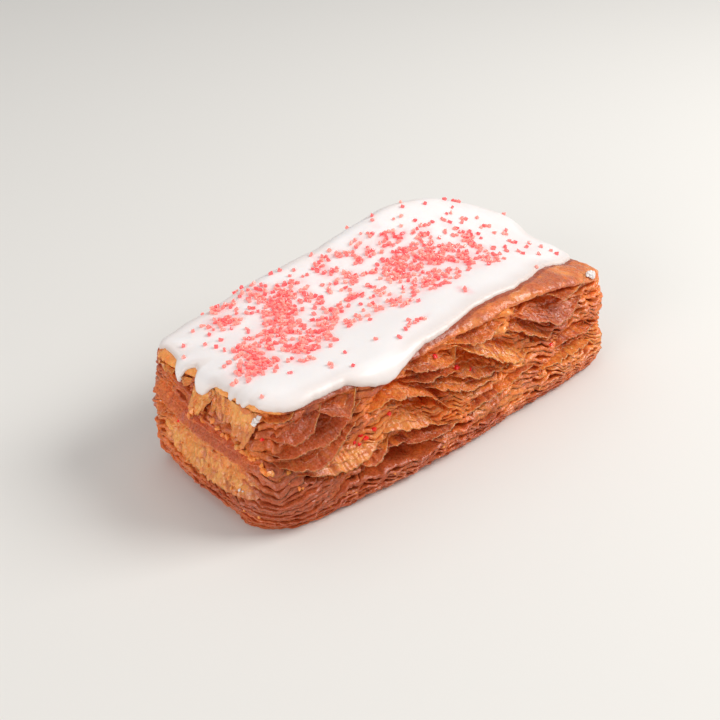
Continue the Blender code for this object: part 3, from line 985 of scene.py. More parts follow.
@dataclass
class Lamination:
    """Where every layer, groove, leaf and cavity of the bar's sides lies, column by column.

    The rows of its pockets, hollows and tones give their fields in order.
    """

    form: BarForm
    noise: Noise
    leaves: tuple[Leaf, ...]
    step: float = 0.34
    layers: int = 24
    crust: float = 1.9
    least_gap: float = 0.14
    open_gap: float = 0.85
    least_depth: float = 0.85
    open_depth: float = 2.4
    mean_reach: float = 0.15
    reach_noise: Table = ((0.65, 12.0), (0.42, 3.6), (0.32, 1.3), (0.2, 0.7))
    bends: Table = ((0.0, -0.19, 15.0), (-44.0, 0.22, 16.0))
    pockets: tuple[Pocket, ...] = tuple(Pocket(*row) for row in (
        (96, 23, 13, 3, 6), (79, 23, 6, 2, 4), (36, 7, 10, 4, 4), (100, 11, 8, 3.4, 3.6),
        (44, 16, 9, 4.5, 6), (5, 9, 4, 1.2, 2.2), (18, 6, 4, 1.2, 2.2), (26, 7, 4, 1.6, 2.6),
        (61, 18, 9, 3.2, 5), (106, 15, 3, 1, 2), (91, 7, 4, 1.2, 2), (130, 14, 12, 4.6, 5),
        (146, 8, 9, 2.6, 4), (170, 12, 15, 5, 6), (186, 18, 12, 4, 5.5), (207, 14, 15, 5, 6),
        (226, 20, 12, 3.4, 5.5), (236, 10, 14, 4.4, 5), (258, 17, 13, 4.2, 5.5), (196, 7, 10, 2.2, 3.5),
    ))
    bands: tuple[Band, ...] = (Band(70.0, 7, 14.0, 1.0), Band(120.0, 17, 9.0, 1.4))
    hollows: tuple[Hollow, ...] = tuple(Hollow(*row) for row in (
        (-1.4, 25.5, 2.2, 6.5, 0, 2.6), (11.5, 26.4, 2.6, 3, 0, 4.5), (4, 22.4, 5, 1, 0, 2.6),
        (5, 19, 6, 0.9, 0, 2.4), (42, 21.2, 9, 2.4, 0.4, 3.6), (38, 14.3, 6, 1.2, 0.1, 2.8),
        (57, 27, 5, 1.6, 0.45, 4), (62, 19.4, 9, 1, 0.3, 2.4), (80, 32.6, 6, 1.5, 0.1, 4.2),
        (97, 31, 9, 1.5, 0.12, 4.2), (101, 27.8, 8, 1, 0.1, 3.6), (88, 19.5, 6, 0.8, 0.2, 2.2),
        (99, 14.6, 5.5, 1.4, 0, 2.6), (104, 20.6, 2.6, 0.9, 0, 2.2), (112, 25, 6, 4.5, 0, 1.7),
        (24.5, 8.4, 4.5, 0.9, 0, 1.8), (37, 9.3, 9, 1.6, 0, 2.2), (-36.5, 16.6, 3.2, 1.3, -0.3, 2.2),
        (-25, 21.4, 3.5, 0.7, 0, 1.6), (-33, 22.9, 1.2, 0.5, 0, 1.6), (-36, 24.4, 1.2, 0.5, 0, 1.6),
        (-30, 22.2, 1.2, 0.4, 0, 1.4), (-31.5, 25, 0.9, 0.4, 0, 1.4), (-38, 26.4, 1, 0.5, 0, 1.4),
    ))
    tones: tuple[Tone, ...] = tuple(Tone(*row) for row in (
        (9, 25, 13, 9, 0, 0, 0.95), (14, 6, 34, 5, 0, 0, 0.8), (24, 16, 12, 4, -0.1, 0.75, 0),
        (40, 18, 11, 4.5, 0.2, 0.5, 0), (46, 25.5, 10, 3, 0.3, 0, 0.7), (67, 25, 14, 6, 0.35, 0.7, 0),
        (60, 15, 12, 2.6, 0, 0.45, 0), (37, 9, 12, 2.5, 0, 0, 1), (99, 24, 14, 6, 0.2, 0, 0.45),
        (100, 7.5, 19, 4.6, 0, 0.55, 0), (99, 14.5, 7, 1.8, 0, 0, 0.8), (-24, 11.5, 16, 5, 0, 0.9, 0),
        (2, 12, 10, 8, 0, 0, 0.95), (-22, 19.4, 24, 2.4, 0.1, 0, 0.9), (-12, 24.5, 9, 2.6, 0, 0, 0.5),
        (-34, 25, 8, 5, 0, 0.1, 0.3), (132, 20, 14, 6, 0.1, 0.6, 0), (148, 12, 12, 5, 0, 0, 0.8),
        (170, 24, 16, 6, 0.2, 0, 0.9), (184, 16, 16, 5, -0.1, 0.7, 0), (208, 27, 14, 5, 0.1, 0.5, 0),
        (222, 14, 15, 4.5, 0.2, 0, 0.8), (240, 22, 13, 6, -0.2, 0.6, 0), (262, 17, 13, 7, 0, 0, 0.8),
    ))

    def __post_init__(self) -> None:
        """Works out the layers' heights, the grooves' mouths and the rims' reach."""
        self.distance = np.arange(0, self.form.perimeter, self.step)
        rim = self.form.rim_point(self.distance)
        self.foot_of_crust = self.form.rim_height(self.distance) - self.crust
        gaps, self.depths = self.grooves(rim)
        weights = self.layer_weights(rim)
        room = self.foot_of_crust - gaps.sum(axis=0)
        thickness = weights * room / weights.sum(axis=0)
        steps = np.zeros((2 * self.layers, len(self.distance)))
        steps[0::2] = thickness
        steps[1::2] = gaps
        edges = np.concatenate([np.zeros((1, len(self.distance))), np.cumsum(steps, axis=0)])
        share = edges / edges[-1]
        for centre, bend, reach in self.bends:
            share += bend * np.exp(-(self.away(centre) / reach) ** 2) * 4 * share * (1 - share)
        edges = share * self.foot_of_crust
        self.lows, self.highs = edges[0:-1:2], edges[1::2]
        self.reach = self.rim_reach(rim)

    def away(self, centre: float) -> Array:
        """Distance round the rim from a centre to each column, the short way."""
        return self.form.past(self.distance, centre)

    def toned(self, distance: Array, height: Array) -> tuple[Array, Array]:
        """How much more golden and how much more browned the dough is than elsewhere.

        Args:
            distance: distance round the rim.
            height: height over the floor.

        Returns:
            The two shares at each place.
        """
        golden = browned = np.zeros(np.broadcast(distance, height).shape)
        for tone in self.tones:
            share = tone.share(self.form.past(distance, tone.distance), height)
            golden, browned = golden + tone.golden * share, browned + tone.browned * share
        return golden, browned

    def round_noise(self, rim: Array, scale: float, key: float) -> Array:
        """Noise round the rim at a scale in millimetres."""
        return self.noise.at(np.concatenate([rim / scale, np.full((len(rim), 1), key)], axis=-1))

    def lens(self, centre: float, half_width: float) -> Array:
        """A lens shape round the rim, 1 in the middle and 0 past its ends."""
        return np.maximum(0, 1 - (self.away(centre) / half_width) ** 2)

    def grooves(self, rim: Array) -> tuple[Array, Array]:
        """Height and depth of the groove over each layer.

        Args:
            rim: the rim's points in plan.

        Returns:
            The heights and the depths, by layer and column.
        """
        gaps, depths = [], []
        for groove in range(1, self.layers + 1):
            wide = self.round_noise(rim, 11.0, 3.1 * groove) + 0.55 * self.round_noise(rim, 4.0, 5.3 * groove)
            torn = smooth_step(0.05, 0.75, wide)
            gap = self.least_gap + self.open_gap * torn
            depth = self.least_depth + self.open_depth * torn
            for pocket in self.pockets:
                if pocket.groove == groove:
                    lens = self.lens(pocket.distance, pocket.half_width)
                    gap = gap + pocket.opening * lens
                    depth = depth + pocket.depth * np.sqrt(lens)
            gaps.append(gap)
            depths.append(depth)
        return np.array(gaps), np.array(depths)

    def layer_weights(self, rim: Array) -> Array:
        """Share of the dough that each layer takes.

        Args:
            rim: the rim's points in plan.

        Returns:
            The shares, by layer and column.
        """
        weights = []
        for layer in range(self.layers):
            uneven = 1 + 0.5 * self.round_noise(rim, 13.0, 40 + 2.7 * layer)
            weight = (0.6 + 0.8 * layer / self.layers) * uneven
            for band in self.bands:
                if band.layer == layer:
                    weight = weight + band.thickness * np.sqrt(self.lens(band.distance, band.half_width))
            weights.append(np.maximum(weight, 0.3))
        return np.array(weights)

    def rim_reach(self, rim: Array) -> Array:
        """How far each layer's torn rim and the crust's lip stand out.

        Args:
            rim: the rim's points in plan.

        Returns:
            The reach, by layer and column.
        """
        reaches = []
        for layer in range(self.layers + 1):
            key = 90 + 3.7 * layer
            reach = self.mean_reach + sum(
                weight * self.round_noise(rim, scale, key + octave)
                for octave, (weight, scale) in enumerate(self.reach_noise))
            reaches.append(np.clip(reach, -1.4, 1.2))
        return np.array(reaches)

    def dent(self, distance: Array, height: Array) -> Array:
        """How far the dough stands back behind the leaves and under their lips.

        Args:
            distance: distance round the rim.
            height: height over the floor.

        Returns:
            The dent in millimetres.
        """
        deepest = np.zeros(np.broadcast(distance, height).shape)
        for hollow in self.hollows:
            share = hollow.share(self.form.past(distance, hollow.distance), height)
            deepest = np.maximum(deepest, hollow.depth * share)
        for leaf in self.leaves:
            middle = (leaf.lip[0][0] + leaf.lip[-1][0]) / 2
            near = self.form.past(distance, middle) + middle
            swell = leaf.swell(near)
            above = height - leaf.lip_height(near)
            reach = smooth_step(-2.4, -0.4, above) * smooth_step(leaf.tall + 1.0, leaf.tall * 0.6, above)
            deepest = np.maximum(deepest, leaf.dent * swell * reach)
        return deepest

    def has_pocket(self, groove: int) -> bool:
        """Whether a groove has a pocket anywhere round the bar."""
        return any(pocket.groove == groove for pocket in self.pockets)


@dataclass
class PastrySides:
    """The bar's sides: slabs of laminated dough with torn rims and open pockets between them."""

    form: BarForm
    lamination: Lamination
    noise: Noise
    slab_grooves: tuple[int, ...] = (6, 10, 14, 19)
    face_rows: int = 5
    groove_rows: int = 5
    pocket_rows: int = 15
    over_floor: float = 1.0
    lip_rounding: float = 0.4
    jut_height: float = 0.8
    jut_size: Triple = (16.0, 16.0, 7.0)
    relief_height: float = 0.34
    relief_size: Triple = (3.0, 3.0, 1.6)
    crumb_height: float = 0.5
    crumb_size: float = 1.5
    darkest_depth: float = 5.0

    def layer_rows(self, layer: int) -> Rows:
        """Rows over one layer's outer face.

        Args:
            layer: the layer, from 0 at the base.

        Returns:
            For each row: distance out, height, how much painted hollow shade it takes, and its place in the
                lamination.
        """
        lam = self.lamination
        low, high, reach = lam.lows[layer], lam.highs[layer], lam.reach[layer]
        rounding = np.minimum(0.5 * (high - low), self.lip_rounding)
        rows = []
        for share in np.linspace(0, 1, self.face_rows):
            bow = 1 - (2 * share - 1) ** 4
            out = reach - rounding * (1 - np.sqrt(bow))
            rows.append((out, low + share * (high - low), np.zeros_like(low), layer + 0.8 * share))
        return rows

    def groove_profile(self, groove: int) -> Rows:
        """Rows through the groove over a layer, from its lower lip in and out again.

        Args:
            groove: the groove, from 1 at the base.

        Returns:
            For each row: distance out, height, how much painted hollow shade it takes, and its place in the
                lamination.
        """
        lam = self.lamination
        count = self.pocket_rows if lam.has_pocket(groove) else self.groove_rows
        low, depth = lam.highs[groove - 1], lam.depths[groove - 1]
        high = lam.lows[groove] if groove < lam.layers else lam.foot_of_crust
        reach_low, reach_high = lam.reach[groove - 1], lam.reach[groove]
        rows = []
        for turn in np.linspace(-np.pi / 2, np.pi / 2, count + 2)[1:-1]:
            share = 0.5 + 0.5 * np.sin(turn)
            inward = depth * np.cos(turn) ** 0.7
            mouth = reach_low + (reach_high - reach_low) * share
            # Painted shade: the further into the groove, the darker orange.
            shade = np.clip(inward / self.darkest_depth, 0, 1)
            rows.append((mouth - inward, low + share * (high - low), shade, groove - 0.2 * (1 - share)))
        return rows

    def surface(self, rows: Rows) -> tuple[Array, Values]:
        """Turns rows into rings of points with fine relief and the values that the finish reads.

        Args:
            rows: rows as layer_rows gives them.

        Returns:
            The rings in millimetres, and the values by ring and column.
        """
        lam = self.lamination
        out, height, hollow = (np.array([row[k] for row in rows]) for k in range(3))
        level = np.repeat(np.array([[row[3]] for row in rows]), len(lam.distance), axis=1)
        smooth = self.form.side(lam.distance, height, out)
        relief = self.relief_height * self.noise.layered(smooth / np.array(self.relief_size), 3, 0.62)
        lifted = height + self.lift(smooth) * smooth_step(0.5, 4.0, height)
        dent = lam.dent(lam.distance, height)
        bare = self.bare_crumb(lam.distance, height)
        crumb = self.noise.layered(smooth / self.crumb_size + 3.0, 2)
        relief = relief + self.crumb_height * bare * crumb
        rings = self.form.side(lam.distance, lifted, out + self.jut(smooth) + relief - dent)
        rings[..., 2] = np.maximum(rings[..., 2], 0.0)
        golden, browned = lam.toned(lam.distance, height)
        mottled = 0.5 * smooth_step(0.1, 0.6, self.noise.at(smooth / 11.0 + 31.0)) * (hollow < 0.6)
        # Painted shade: narrow grooves get extra crisp, which darkens them towards burnt.
        narrow_groove_shade = smooth_step(0.04, 0.14, hollow) * smooth_step(0.5, 0.25, hollow)
        values = {
            "grain": np.concatenate([rings[..., :2] * MM, level[..., None] * 1.3 * MM], axis=-1),
            # Painted shade in the grooves, and behind leaves and under their lips through the dent.
            "hollow": np.maximum(hollow, 0.13 * dent),
            "golden": np.clip(0.8 * golden + mottled * (1 - browned), 0, 1),
            "foot": np.maximum(np.maximum(smooth_step(8.0, 1.0, height), bare), np.minimum(browned, 1.0)),
            "crisp": smooth_step(-0.8, 0.6, out - dent) + browned + 1.1 * narrow_groove_shade,
            "lip": 0 * hollow,
        }
        return rings, values

    def bare_crumb(self, distance: Array, height: Array) -> Array:
        """Share of dull bare crumb, on the left end between its smooth band and the golden flakes.

        Args:
            distance: distance round the rim.
            height: height over the floor.

        Returns:
            The share at each place.
        """
        along = self.form.past(distance)
        reach = smooth_step(-27.0, -22.0, along) * smooth_step(-2.0, -6.0, along)
        return 0.7 * reach * smooth_step(19.5, 21.5, height)

    def jut(self, place: Array) -> Array:
        """How far whole stacks of layers stand out, at each place."""
        return self.jut_height * self.noise.at(place / np.array(self.jut_size))

    def lift(self, place: Array) -> Array:
        """How far the layers wave up and down, at each place."""
        return 0.3 * self.noise.at(place / 6.0 + 7.0) + 0.22 * self.noise.at(place / 2.1 + 1.0)

    def slab(self, number: int, first: int, last: int, material: Material) -> SceneObject:
        """Builds the layers between two grooves as one closed piece.

        Args:
            number: the slab's number in its name.
            first: the groove under it, 0 for the base.
            last: the groove over it.
            material: its finish.

        Returns:
            The slab.
        """
        rows = []
        if first:
            profile = self.groove_profile(first)
            rows += profile[len(profile) // 2:]
        for layer in range(first, last):
            rows += self.layer_rows(layer)
            profile = self.groove_profile(layer + 1)
            rows += profile if layer + 1 < last else profile[:len(profile) // 2 + 1]
        rings, values = self.surface(rows)
        rings, values = self.closed_over(rings, values, first == 0)
        return ring_piece(f"pastry_layers_{number}", rings, values).to_object(material)

    def closed_over(self, rings: Array, values: Values, base: bool) -> tuple[Array, Values]:
        """Adds rings in to the middle line, under and over a slab.

        Args:
            rings: the slab's rings.
            values: its values.
            base: whether the slab stands on the floor and shows its underside.

        Returns:
            The longer rings and values.
        """
        shares = np.linspace(0.94, 0.06, 12) if base else (0.6, 0.1)
        under = [self.inwards(rings[0], share, 0.0) for share in shares]
        over = [self.inwards(rings[-1], share) for share in (0.4, 0.9)]
        if base:
            for ring in under:
                ring[:, 2] = 0.0
        long_values = {
            key: np.concatenate([value[:1]] * len(under) + [value] + [value[-1:]] * len(over))
            for key, value in values.items()
        }
        if base:
            self.brown_base(np.array(under), long_values)
        return np.concatenate([under, rings, over]), long_values

    def brown_base(self, under: Array, values: Values) -> None:
        """Gives the flat underside its own uneven browning, in place of the rim's.

        Args:
            under: the rings under the slab.
            values: the slab's values, which begin with those rings' own.
        """
        spots = self.noise.layered(under / 8.0, 2)
        values["grain"][:len(under)] = under * MM
        values["golden"][:len(under)] = 0.4 * smooth_step(-0.1, 0.6, spots)
        values["crisp"][:len(under)] = 0.9 - 0.7 * spots
        values["foot"][:len(under)] = 0.6
        for key in ("hollow", "lip"):
            values[key][:len(under)] = 0.0

    def inwards(self, ring: Array, share: float, sink: float = 9.0) -> Array:
        """A ring moved in towards the bar's middle line, and down.

        Args:
            ring: the ring.
            share: the share of the way.
            sink: how far the whole way leads down.

        Returns:
            The moved ring, kept clear of the floor.
        """
        middle = np.concatenate([self.form.middle_line(ring), ring[:, 2:] - sink], axis=-1)
        moved = ring + (middle - ring) * share
        moved[:, 2] = np.maximum(moved[:, 2], self.over_floor)
        return moved

    def build(self, material: Material) -> list[SceneObject]:
        """Builds every slab from the base up.

        Args:
            material: their finish.

        Returns:
            The slabs.
        """
        marks = (0, *self.slab_grooves, self.lamination.layers)
        slabs = enumerate(zip(marks, marks[1:]), 1)
        return [self.slab(number, first, last, material) for number, (first, last) in slabs]


@dataclass
class PastryLeaves:
    """The thin sheets that peeled off the bar's sides."""

    form: BarForm
    sides: PastrySides
    noise: Noise
    step: float = 0.25
    face_rows: int = 32
    back_rows: int = 7
    under_rim: float = 2.3
    sheet: float = 1.4
    overlap: float = 0.45
    hanging_folds: Pair = (0.22, 3.1)
    upright_folds: Pair = (0.5, 2.4)
    tears: Table = ((0.9, 2.6), (0.8, 1.1), (0.5, 0.55))
    tear_depth: float = 1.3
    over_floor: float = 0.15

    def sheets(self, distance: Array, share: Array, leaf: Leaf) -> tuple[Array, Array]:
        """The thin sheets that lie over each other on a leaf's face.

        Args:
            distance: distance round the rim.
            share: share of the way down the leaf.
            leaf: its sizes.

        Returns:
            The share of the way down each sheet, and the sheet's number from the top.
        """
        count = max(2, round(leaf.tall / (self.sheet if leaf.hanging else 2 * self.sheet)))
        free = 4 * share * (1 - share)
        place = np.stack(np.broadcast_arrays(distance, share * leaf.tall * 0.3, leaf.lip[0][0]), axis=-1)
        run = share + free * (0.11 * self.noise.at(place / 5.0) + 0.05 * self.noise.at(place / 1.2 + 9.0))
        number = np.clip(np.floor(run * count), 0, count - 1)
        return np.clip(run * count - number, 0, 1), number

    def shell(self, distance: Array, share: Array, leaf: Leaf, down: Array,
              back: Array) -> tuple[Array, Array]:
        """Where a leaf's face and back run, before their wrinkles.

        Args:
            distance: distance round the rim.
            share: share of the way down the leaf.
            leaf: its sizes.
            down: share of the way down each thin sheet.
            back: 1 on the leaf's back and 0 on its face.

        Returns:
            The height over the floor, and the distance out of the smooth outside.
        """
        swell, lip = leaf.swell(distance), leaf.lip_height(distance)
        at = np.concatenate([distance, lip, np.full_like(distance, leaf.lip[0][1])], axis=-1)
        tear = sum(weight * self.noise.at(at / size) for weight, size in self.tears)
        low = lip + self.tear_depth * leaf.ragged * tear[:, None] * swell
        wave = 0.8 * self.noise.at(at / 7.0)[:, None] + 0.35 * self.noise.at(at / 2.2 + 4.0)[:, None]
        rim = self.form.rim_height(distance[:, 0])[:, None]
        high = np.minimum(lip + leaf.tall * swell + 0.3, np.maximum(rim - self.under_rim, lip + 0.3))
        reach = -1.6 + (0.75 * leaf.out + 1.6) * swell + 0.6 * wave * swell
        slope = 0.2 * share ** 0.45 + 0.8 * share ** leaf.flare
        out = -leaf.root + (reach + leaf.root) * slope
        out = out + self.overlap * swell * (down ** 1.5 - 0.5) * smooth_step(0.1, 0.3, share) * (1 - back)
        thick = leaf.thick * (1.15 - 0.8 * share)
        return high + (low - high) * share - back * thick * 0.5, out - back * thick

    def folds(self, distance: Array, height: Array, leaf: Leaf, number: Array) -> tuple[Array, Array]:
        """The wrinkles that run down a leaf.

        Args:
            distance: distance round the rim.
            height: height over the floor.
            leaf: its sizes.
            number: the number of the thin sheet.

        Returns:
            The place of each point along and across the wrinkles, and how far a wrinkle lifts it.
        """
        fall = (distance + leaf.slant * height, height * leaf.fibre, leaf.lip[0][1] + leaf.hanging * number)
        fall = np.stack(np.broadcast_arrays(*fall), axis=-1)
        fine, wide = self.hanging_folds if leaf.hanging else self.upright_folds
        return fall, fine * self.noise.at(fall / 1.2) + 0.9 * (0.3 - np.abs(self.noise.at(fall / wide + 3.0)))

    def leaf(self, leaf: Leaf) -> MeshPiece:
        """Builds one leaf: a closed thin shell from its root inside the side to its torn lip.

        Args:
            leaf: its sizes.

        Returns:
            The leaf as a closed mesh.
        """
        first, last = leaf.lip[0][0], leaf.lip[-1][0]
        distance = np.linspace(first, last, max(8, int((last - first) / self.step)))[:, None]
        front = np.linspace(0, 1, self.face_rows)
        share = np.concatenate([front, front[-2::-1][::3][: self.back_rows]])[None, :]
        back = np.concatenate([np.zeros(self.face_rows), np.ones(share.shape[1] - self.face_rows)])[None, :]
        down, number = self.sheets(distance, share, leaf)
        height, out = self.shell(distance, share, leaf, down, back)
        fall, fold = self.folds(distance, height, leaf, number)
        smooth = self.form.side(distance, height, out)
        uneven = 0.15 + 0.5 * min(leaf.wrinkle, 0.5)
        relief = uneven * self.noise.layered(smooth / 3.1 + 5.0, 3) + leaf.wrinkle * fold
        relief = relief + leaf.coarse * (np.abs(self.noise.layered(smooth / 1.5 + 8.0, 3)) - 0.2) * (1 - back)
        ends = smooth_step(0.0, 0.25, leaf.swell(distance)) * smooth_step(0.0, 0.3, share)
        place = self.form.side(distance, height)
        moved = out + self.sides.jut(place) + relief * ends
        points = self.form.side(distance, height + self.sides.lift(place), moved)
        points[..., 2] = np.maximum(points[..., 2], self.over_floor)
        patch = 0.5 + 0.9 * self.noise.at(fall / 1.7 + 2.0)
        golden, browned = self.sides.lamination.toned(distance, height)
        tip = 1 - 0.45 * smooth_step(0.7, 1.0, share) * leaf.hanging
        # Painted shade: a leaf's back loses gold here.
        golden = np.clip(leaf.golden * tip * (0.35 + 0.85 * patch) + 0.4 * golden, 0, 1) * (1 - 0.6 * back)
        # Painted shade: wrinkle troughs lose gold, and they and the seams under the next sheet get extra
        # crisp, which darkens them towards burnt.
        golden = golden * (1 - 0.6 * smooth_step(-0.05, -0.45, fold))
        seam_shade = (1 - back) * smooth_step(0.25, 0.0, down) * smooth_step(0.1, 0.3, share)
        painted_crease_shade = (1.2 * seam_shade + 1.1 * smooth_step(0.0, -0.4, fold) * (1 - back)) * min(1.0, 2 * leaf.wrinkle)
        leaning = points + 0.25 * points[..., 2:] * np.array([1.0, 1.0, 0.0])
        # Painted shade: dark orange towards the leaf's root inside the side, on its back and at the seams
        # under the next sheet.
        hollow = min(leaf.root / 4.6, 1.0) * (1 - share) ** 1.3 + 0.35 * back + 0.3 * seam_shade
        shaded = 0.9 * np.clip(browned, 0, 1) * smooth_step(0.3, 0.9, share)
        # Lip: partly pale torn crumb, partly a painted highlight along the thin edge.
        torn = np.maximum(smooth_step(0.93, 1.0, share), 0.4 * smooth_step(0.8, 1.0, down))
        values = {
            "grain": leaning * MM * np.array([3.4, 3.4, 0.08]),
            "hollow": np.clip(hollow, 0, 1) + 0 * out,
            "golden": golden,
            "crisp": leaf.crisp * (1 - 0.6 * leaf.golden) * smooth_step(0.25, 0.8, share) + browned + painted_crease_shade,
            "foot": np.maximum(smooth_step(7.0, 1.0, height), shaded),
            "lip": torn * (1 - back) + 0 * out,
        }
        return ring_piece("leaf", points, values)

    def build(self, name: str, leaves: tuple[Leaf, ...], material: Material) -> SceneObject:
        """Builds a group of leaves as one piece.

        Args:
            name: the piece's name.
            leaves: the leaves.
            material: their finish.

        Returns:
            The piece.
        """
        return joined(name, [self.leaf(leaf) for leaf in leaves]).to_object(material)


@dataclass(frozen=True)
class HiddenLeaves:
    """Leaves for the right end and the far side, torn in the same way as those that show."""

    form: BarForm
    first: float = 113.0
    last: float = 276.0
    rows: tuple[float, ...] = (0.26, 0.44, 0.62, 0.8)
    under_crust: float = 4.0
    top_margin: float = 1.5
    start: float = 9.0
    shortest: float = 12.0
    lowest: float = 6.5
    points: int = 7
    length: Pair = (13.0, 27.0)
    fall: Pair = (-3.0, 3.0)
    sag: Pair = (-1.6, 2.6)
    tear: Pair = (-0.5, 0.5)
    tall: Pair = (3.2, 6.0)
    out: Pair = (0.5, 1.7)
    ragged: Pair = (0.3, 0.55)
    thick: float = 0.45
    dent: Pair = (2.6, 4.0)
    crisp: Pair = (0.5, 1.1)
    spacing: Pair = (0.85, 1.25)

    def leaves(self, seed: int) -> tuple[Leaf, ...]:
        """Draws the leaves row by row.

        Args:
            seed: fixes the draw.

        Returns:
            The leaves.
        """
        generator = np.random.default_rng(seed)
        draw = generator.uniform
        drawn = []
        for row in self.rows:
            distance = self.first + draw(0, self.start)
            while distance < self.last - self.shortest:
                length = draw(*self.length)
                share = np.linspace(0, 1, self.points)
                along = distance + min(length, self.last - distance) * share
                room = self.form.rim_height(along) - self.under_crust
                fall, sag, tear = draw(*self.fall), draw(*self.sag), draw(*self.tear, self.points)
                height = row * room + fall * (share - 0.5) - sag * 4 * share * (1 - share) + tear
                height = np.clip(height, self.lowest, room - self.top_margin)
                drawn.append(Leaf(
                    tuple(zip(along.tolist(), height.tolist())), draw(*self.tall), draw(*self.out),
                    0.9 * draw() ** 1.6, draw(*self.ragged), self.thick, draw(*self.dent), draw(*self.crisp),
                ))
                distance += length * draw(*self.spacing)
        return tuple(drawn)


@dataclass
class PastryCrust:
    """The bar's fried top skin, from its crisp lower lip over the rim and across the top."""

    form: BarForm
    lamination: Lamination
    sides: PastrySides
    noise: Noise
    lip_path: float = 1.2
    rows_seen: int = 58
    inner_path: float = -15.0
    wave_height: float = 0.35
    wave_size: float = 9.0
    wrinkle_height: float = 0.16
    wrinkle_size: float = 2.6
    crumb_height: float = 0.55
    crumb_size: float = 1.9

    def relief(self, distance: Array, path: Array) -> Array:
        """Height of the skin's waves, wrinkles and blisters off the smooth outside.

        Args:
            distance: distance round the rim.
            path: path from the rim.

        Returns:
            The height in millimetres.
        """
        place = self.form.skin(distance, path)
        wrinkle = self.wrinkle_height * self.noise.layered(place / self.wrinkle_size, 3)
        crumbly = self.crumbly(distance, path)
        crumb = self.crumb_height * np.abs(self.noise.layered(place / self.crumb_size + 11.0, 3))
        crumb = crumb + 0.3 * self.noise.at(place / 4.0)
        return self.bed(distance, path) + wrinkle + crumbly * (crumb - 0.15)

    def bed(self, distance: Array, path: Array) -> Array:
        """The skin's broad waves alone, which the icing lies on.

        Args:
            distance: distance round the rim.
            path: path from the rim.

        Returns:
            Their height in millimetres.
        """
        place = self.form.skin(distance, path)
        jut = self.sides.jut(place) * smooth_step(-5.0, 2.0, path)
        return jut + self.wave_height * self.noise.at(place / self.wave_size + 3.0)

    def crumbly(self, distance: Array, path: Array) -> Array:
        """Share of bare golden crumb at the left end's edge, where the skin flaked away.

        Args:
            distance: distance round the rim.
            path: path from the rim.

        Returns:
            The share at each place.
        """
        along = self.form.past(distance)
        reach = smooth_step(-46, -41, along) * smooth_step(4.0, 0.5, along)
        return reach * smooth_step(-5.0, -2.0, path)

    def build(self, material: Material, icing_edge: Array) -> SceneObject:
        """Builds the crust as one closed piece.

        Args:
            material: its finish.
            icing_edge: the path of the icing's edge, column by column.

        Returns:
            The crust.
        """
        lam = self.lamination
        profile = self.sides.groove_profile(lam.layers)
        hollow_rings, hollow_values = self.sides.surface(profile[len(profile) // 2:])
        seen = np.linspace(self.lip_path, self.inner_path, self.rows_seen)
        distance = lam.distance[None, :]
        last = -self.form.quarter_turn - self.form.way_in(distance) * 0.97
        share = np.linspace(0.1, 1, 9)[:, None]
        hidden = self.inner_path + (np.minimum(last, self.inner_path - 0.5) - self.inner_path) * share
        path = np.concatenate([seen[:, None] + 0 * distance, hidden])
        lip = lam.reach[-1] * np.exp(-((self.lip_path - path) / 1.5) ** 2)
        lip = lip - 0.45 * np.exp(-(self.lip_path - path) / 0.25)
        lip = lip - 1.2 * smooth_step(-13.0, -17.0, path)
        rings = self.form.skin(distance, path, lip + self.relief(distance, path))
        smooth = self.form.skin(distance, path)
        rings[..., 2] += self.sides.lift(smooth) * smooth_step(-2.0, 3.0, path)
        crumbly = self.crumbly(distance, path)
        # Painted shadow: a dark line on the crust just under the icing's edge, where the crust is also crisp;
        # there it loses gold and gets extra crisp.
        beyond = path - icing_edge
        line = smooth_step(-0.3, 0.1, beyond) * smooth_step(1.6, 0.5, beyond) * (1 - crumbly)
        mottled = smooth_step(-0.25, 0.45, self.noise.layered(rings / 7.0 + 5.0, 2))
        golden = np.maximum(crumbly, 0.1 + 0.5 * mottled) * (1 - line)
        values = {
            "grain": rings * MM * np.array([1.0, 1.0, 0.35]),
            "hollow": 0 * golden,
            "golden": golden,
            "crisp": 0.95 * (1 - crumbly) + 1.2 * line,
            "foot": 0.2 * (1 - crumbly),
            # Lip: partly pale torn crumb, partly a painted highlight along the crust's lower edge.
            "lip": 0.6 * smooth_step(0.6, 1.2, path) + 0 * golden,
        }
        under = [self.sides.inwards(hollow_rings[0], share) for share in (0.9, 0.4)]
        rings = np.concatenate([under, hollow_rings, rings])
        for key, value in values.items():
            low = hollow_values[key]
            values[key] = np.concatenate([low[:1], low[:1], low, value])
        return ring_piece("pastry_crust", rings, values).to_object(material)


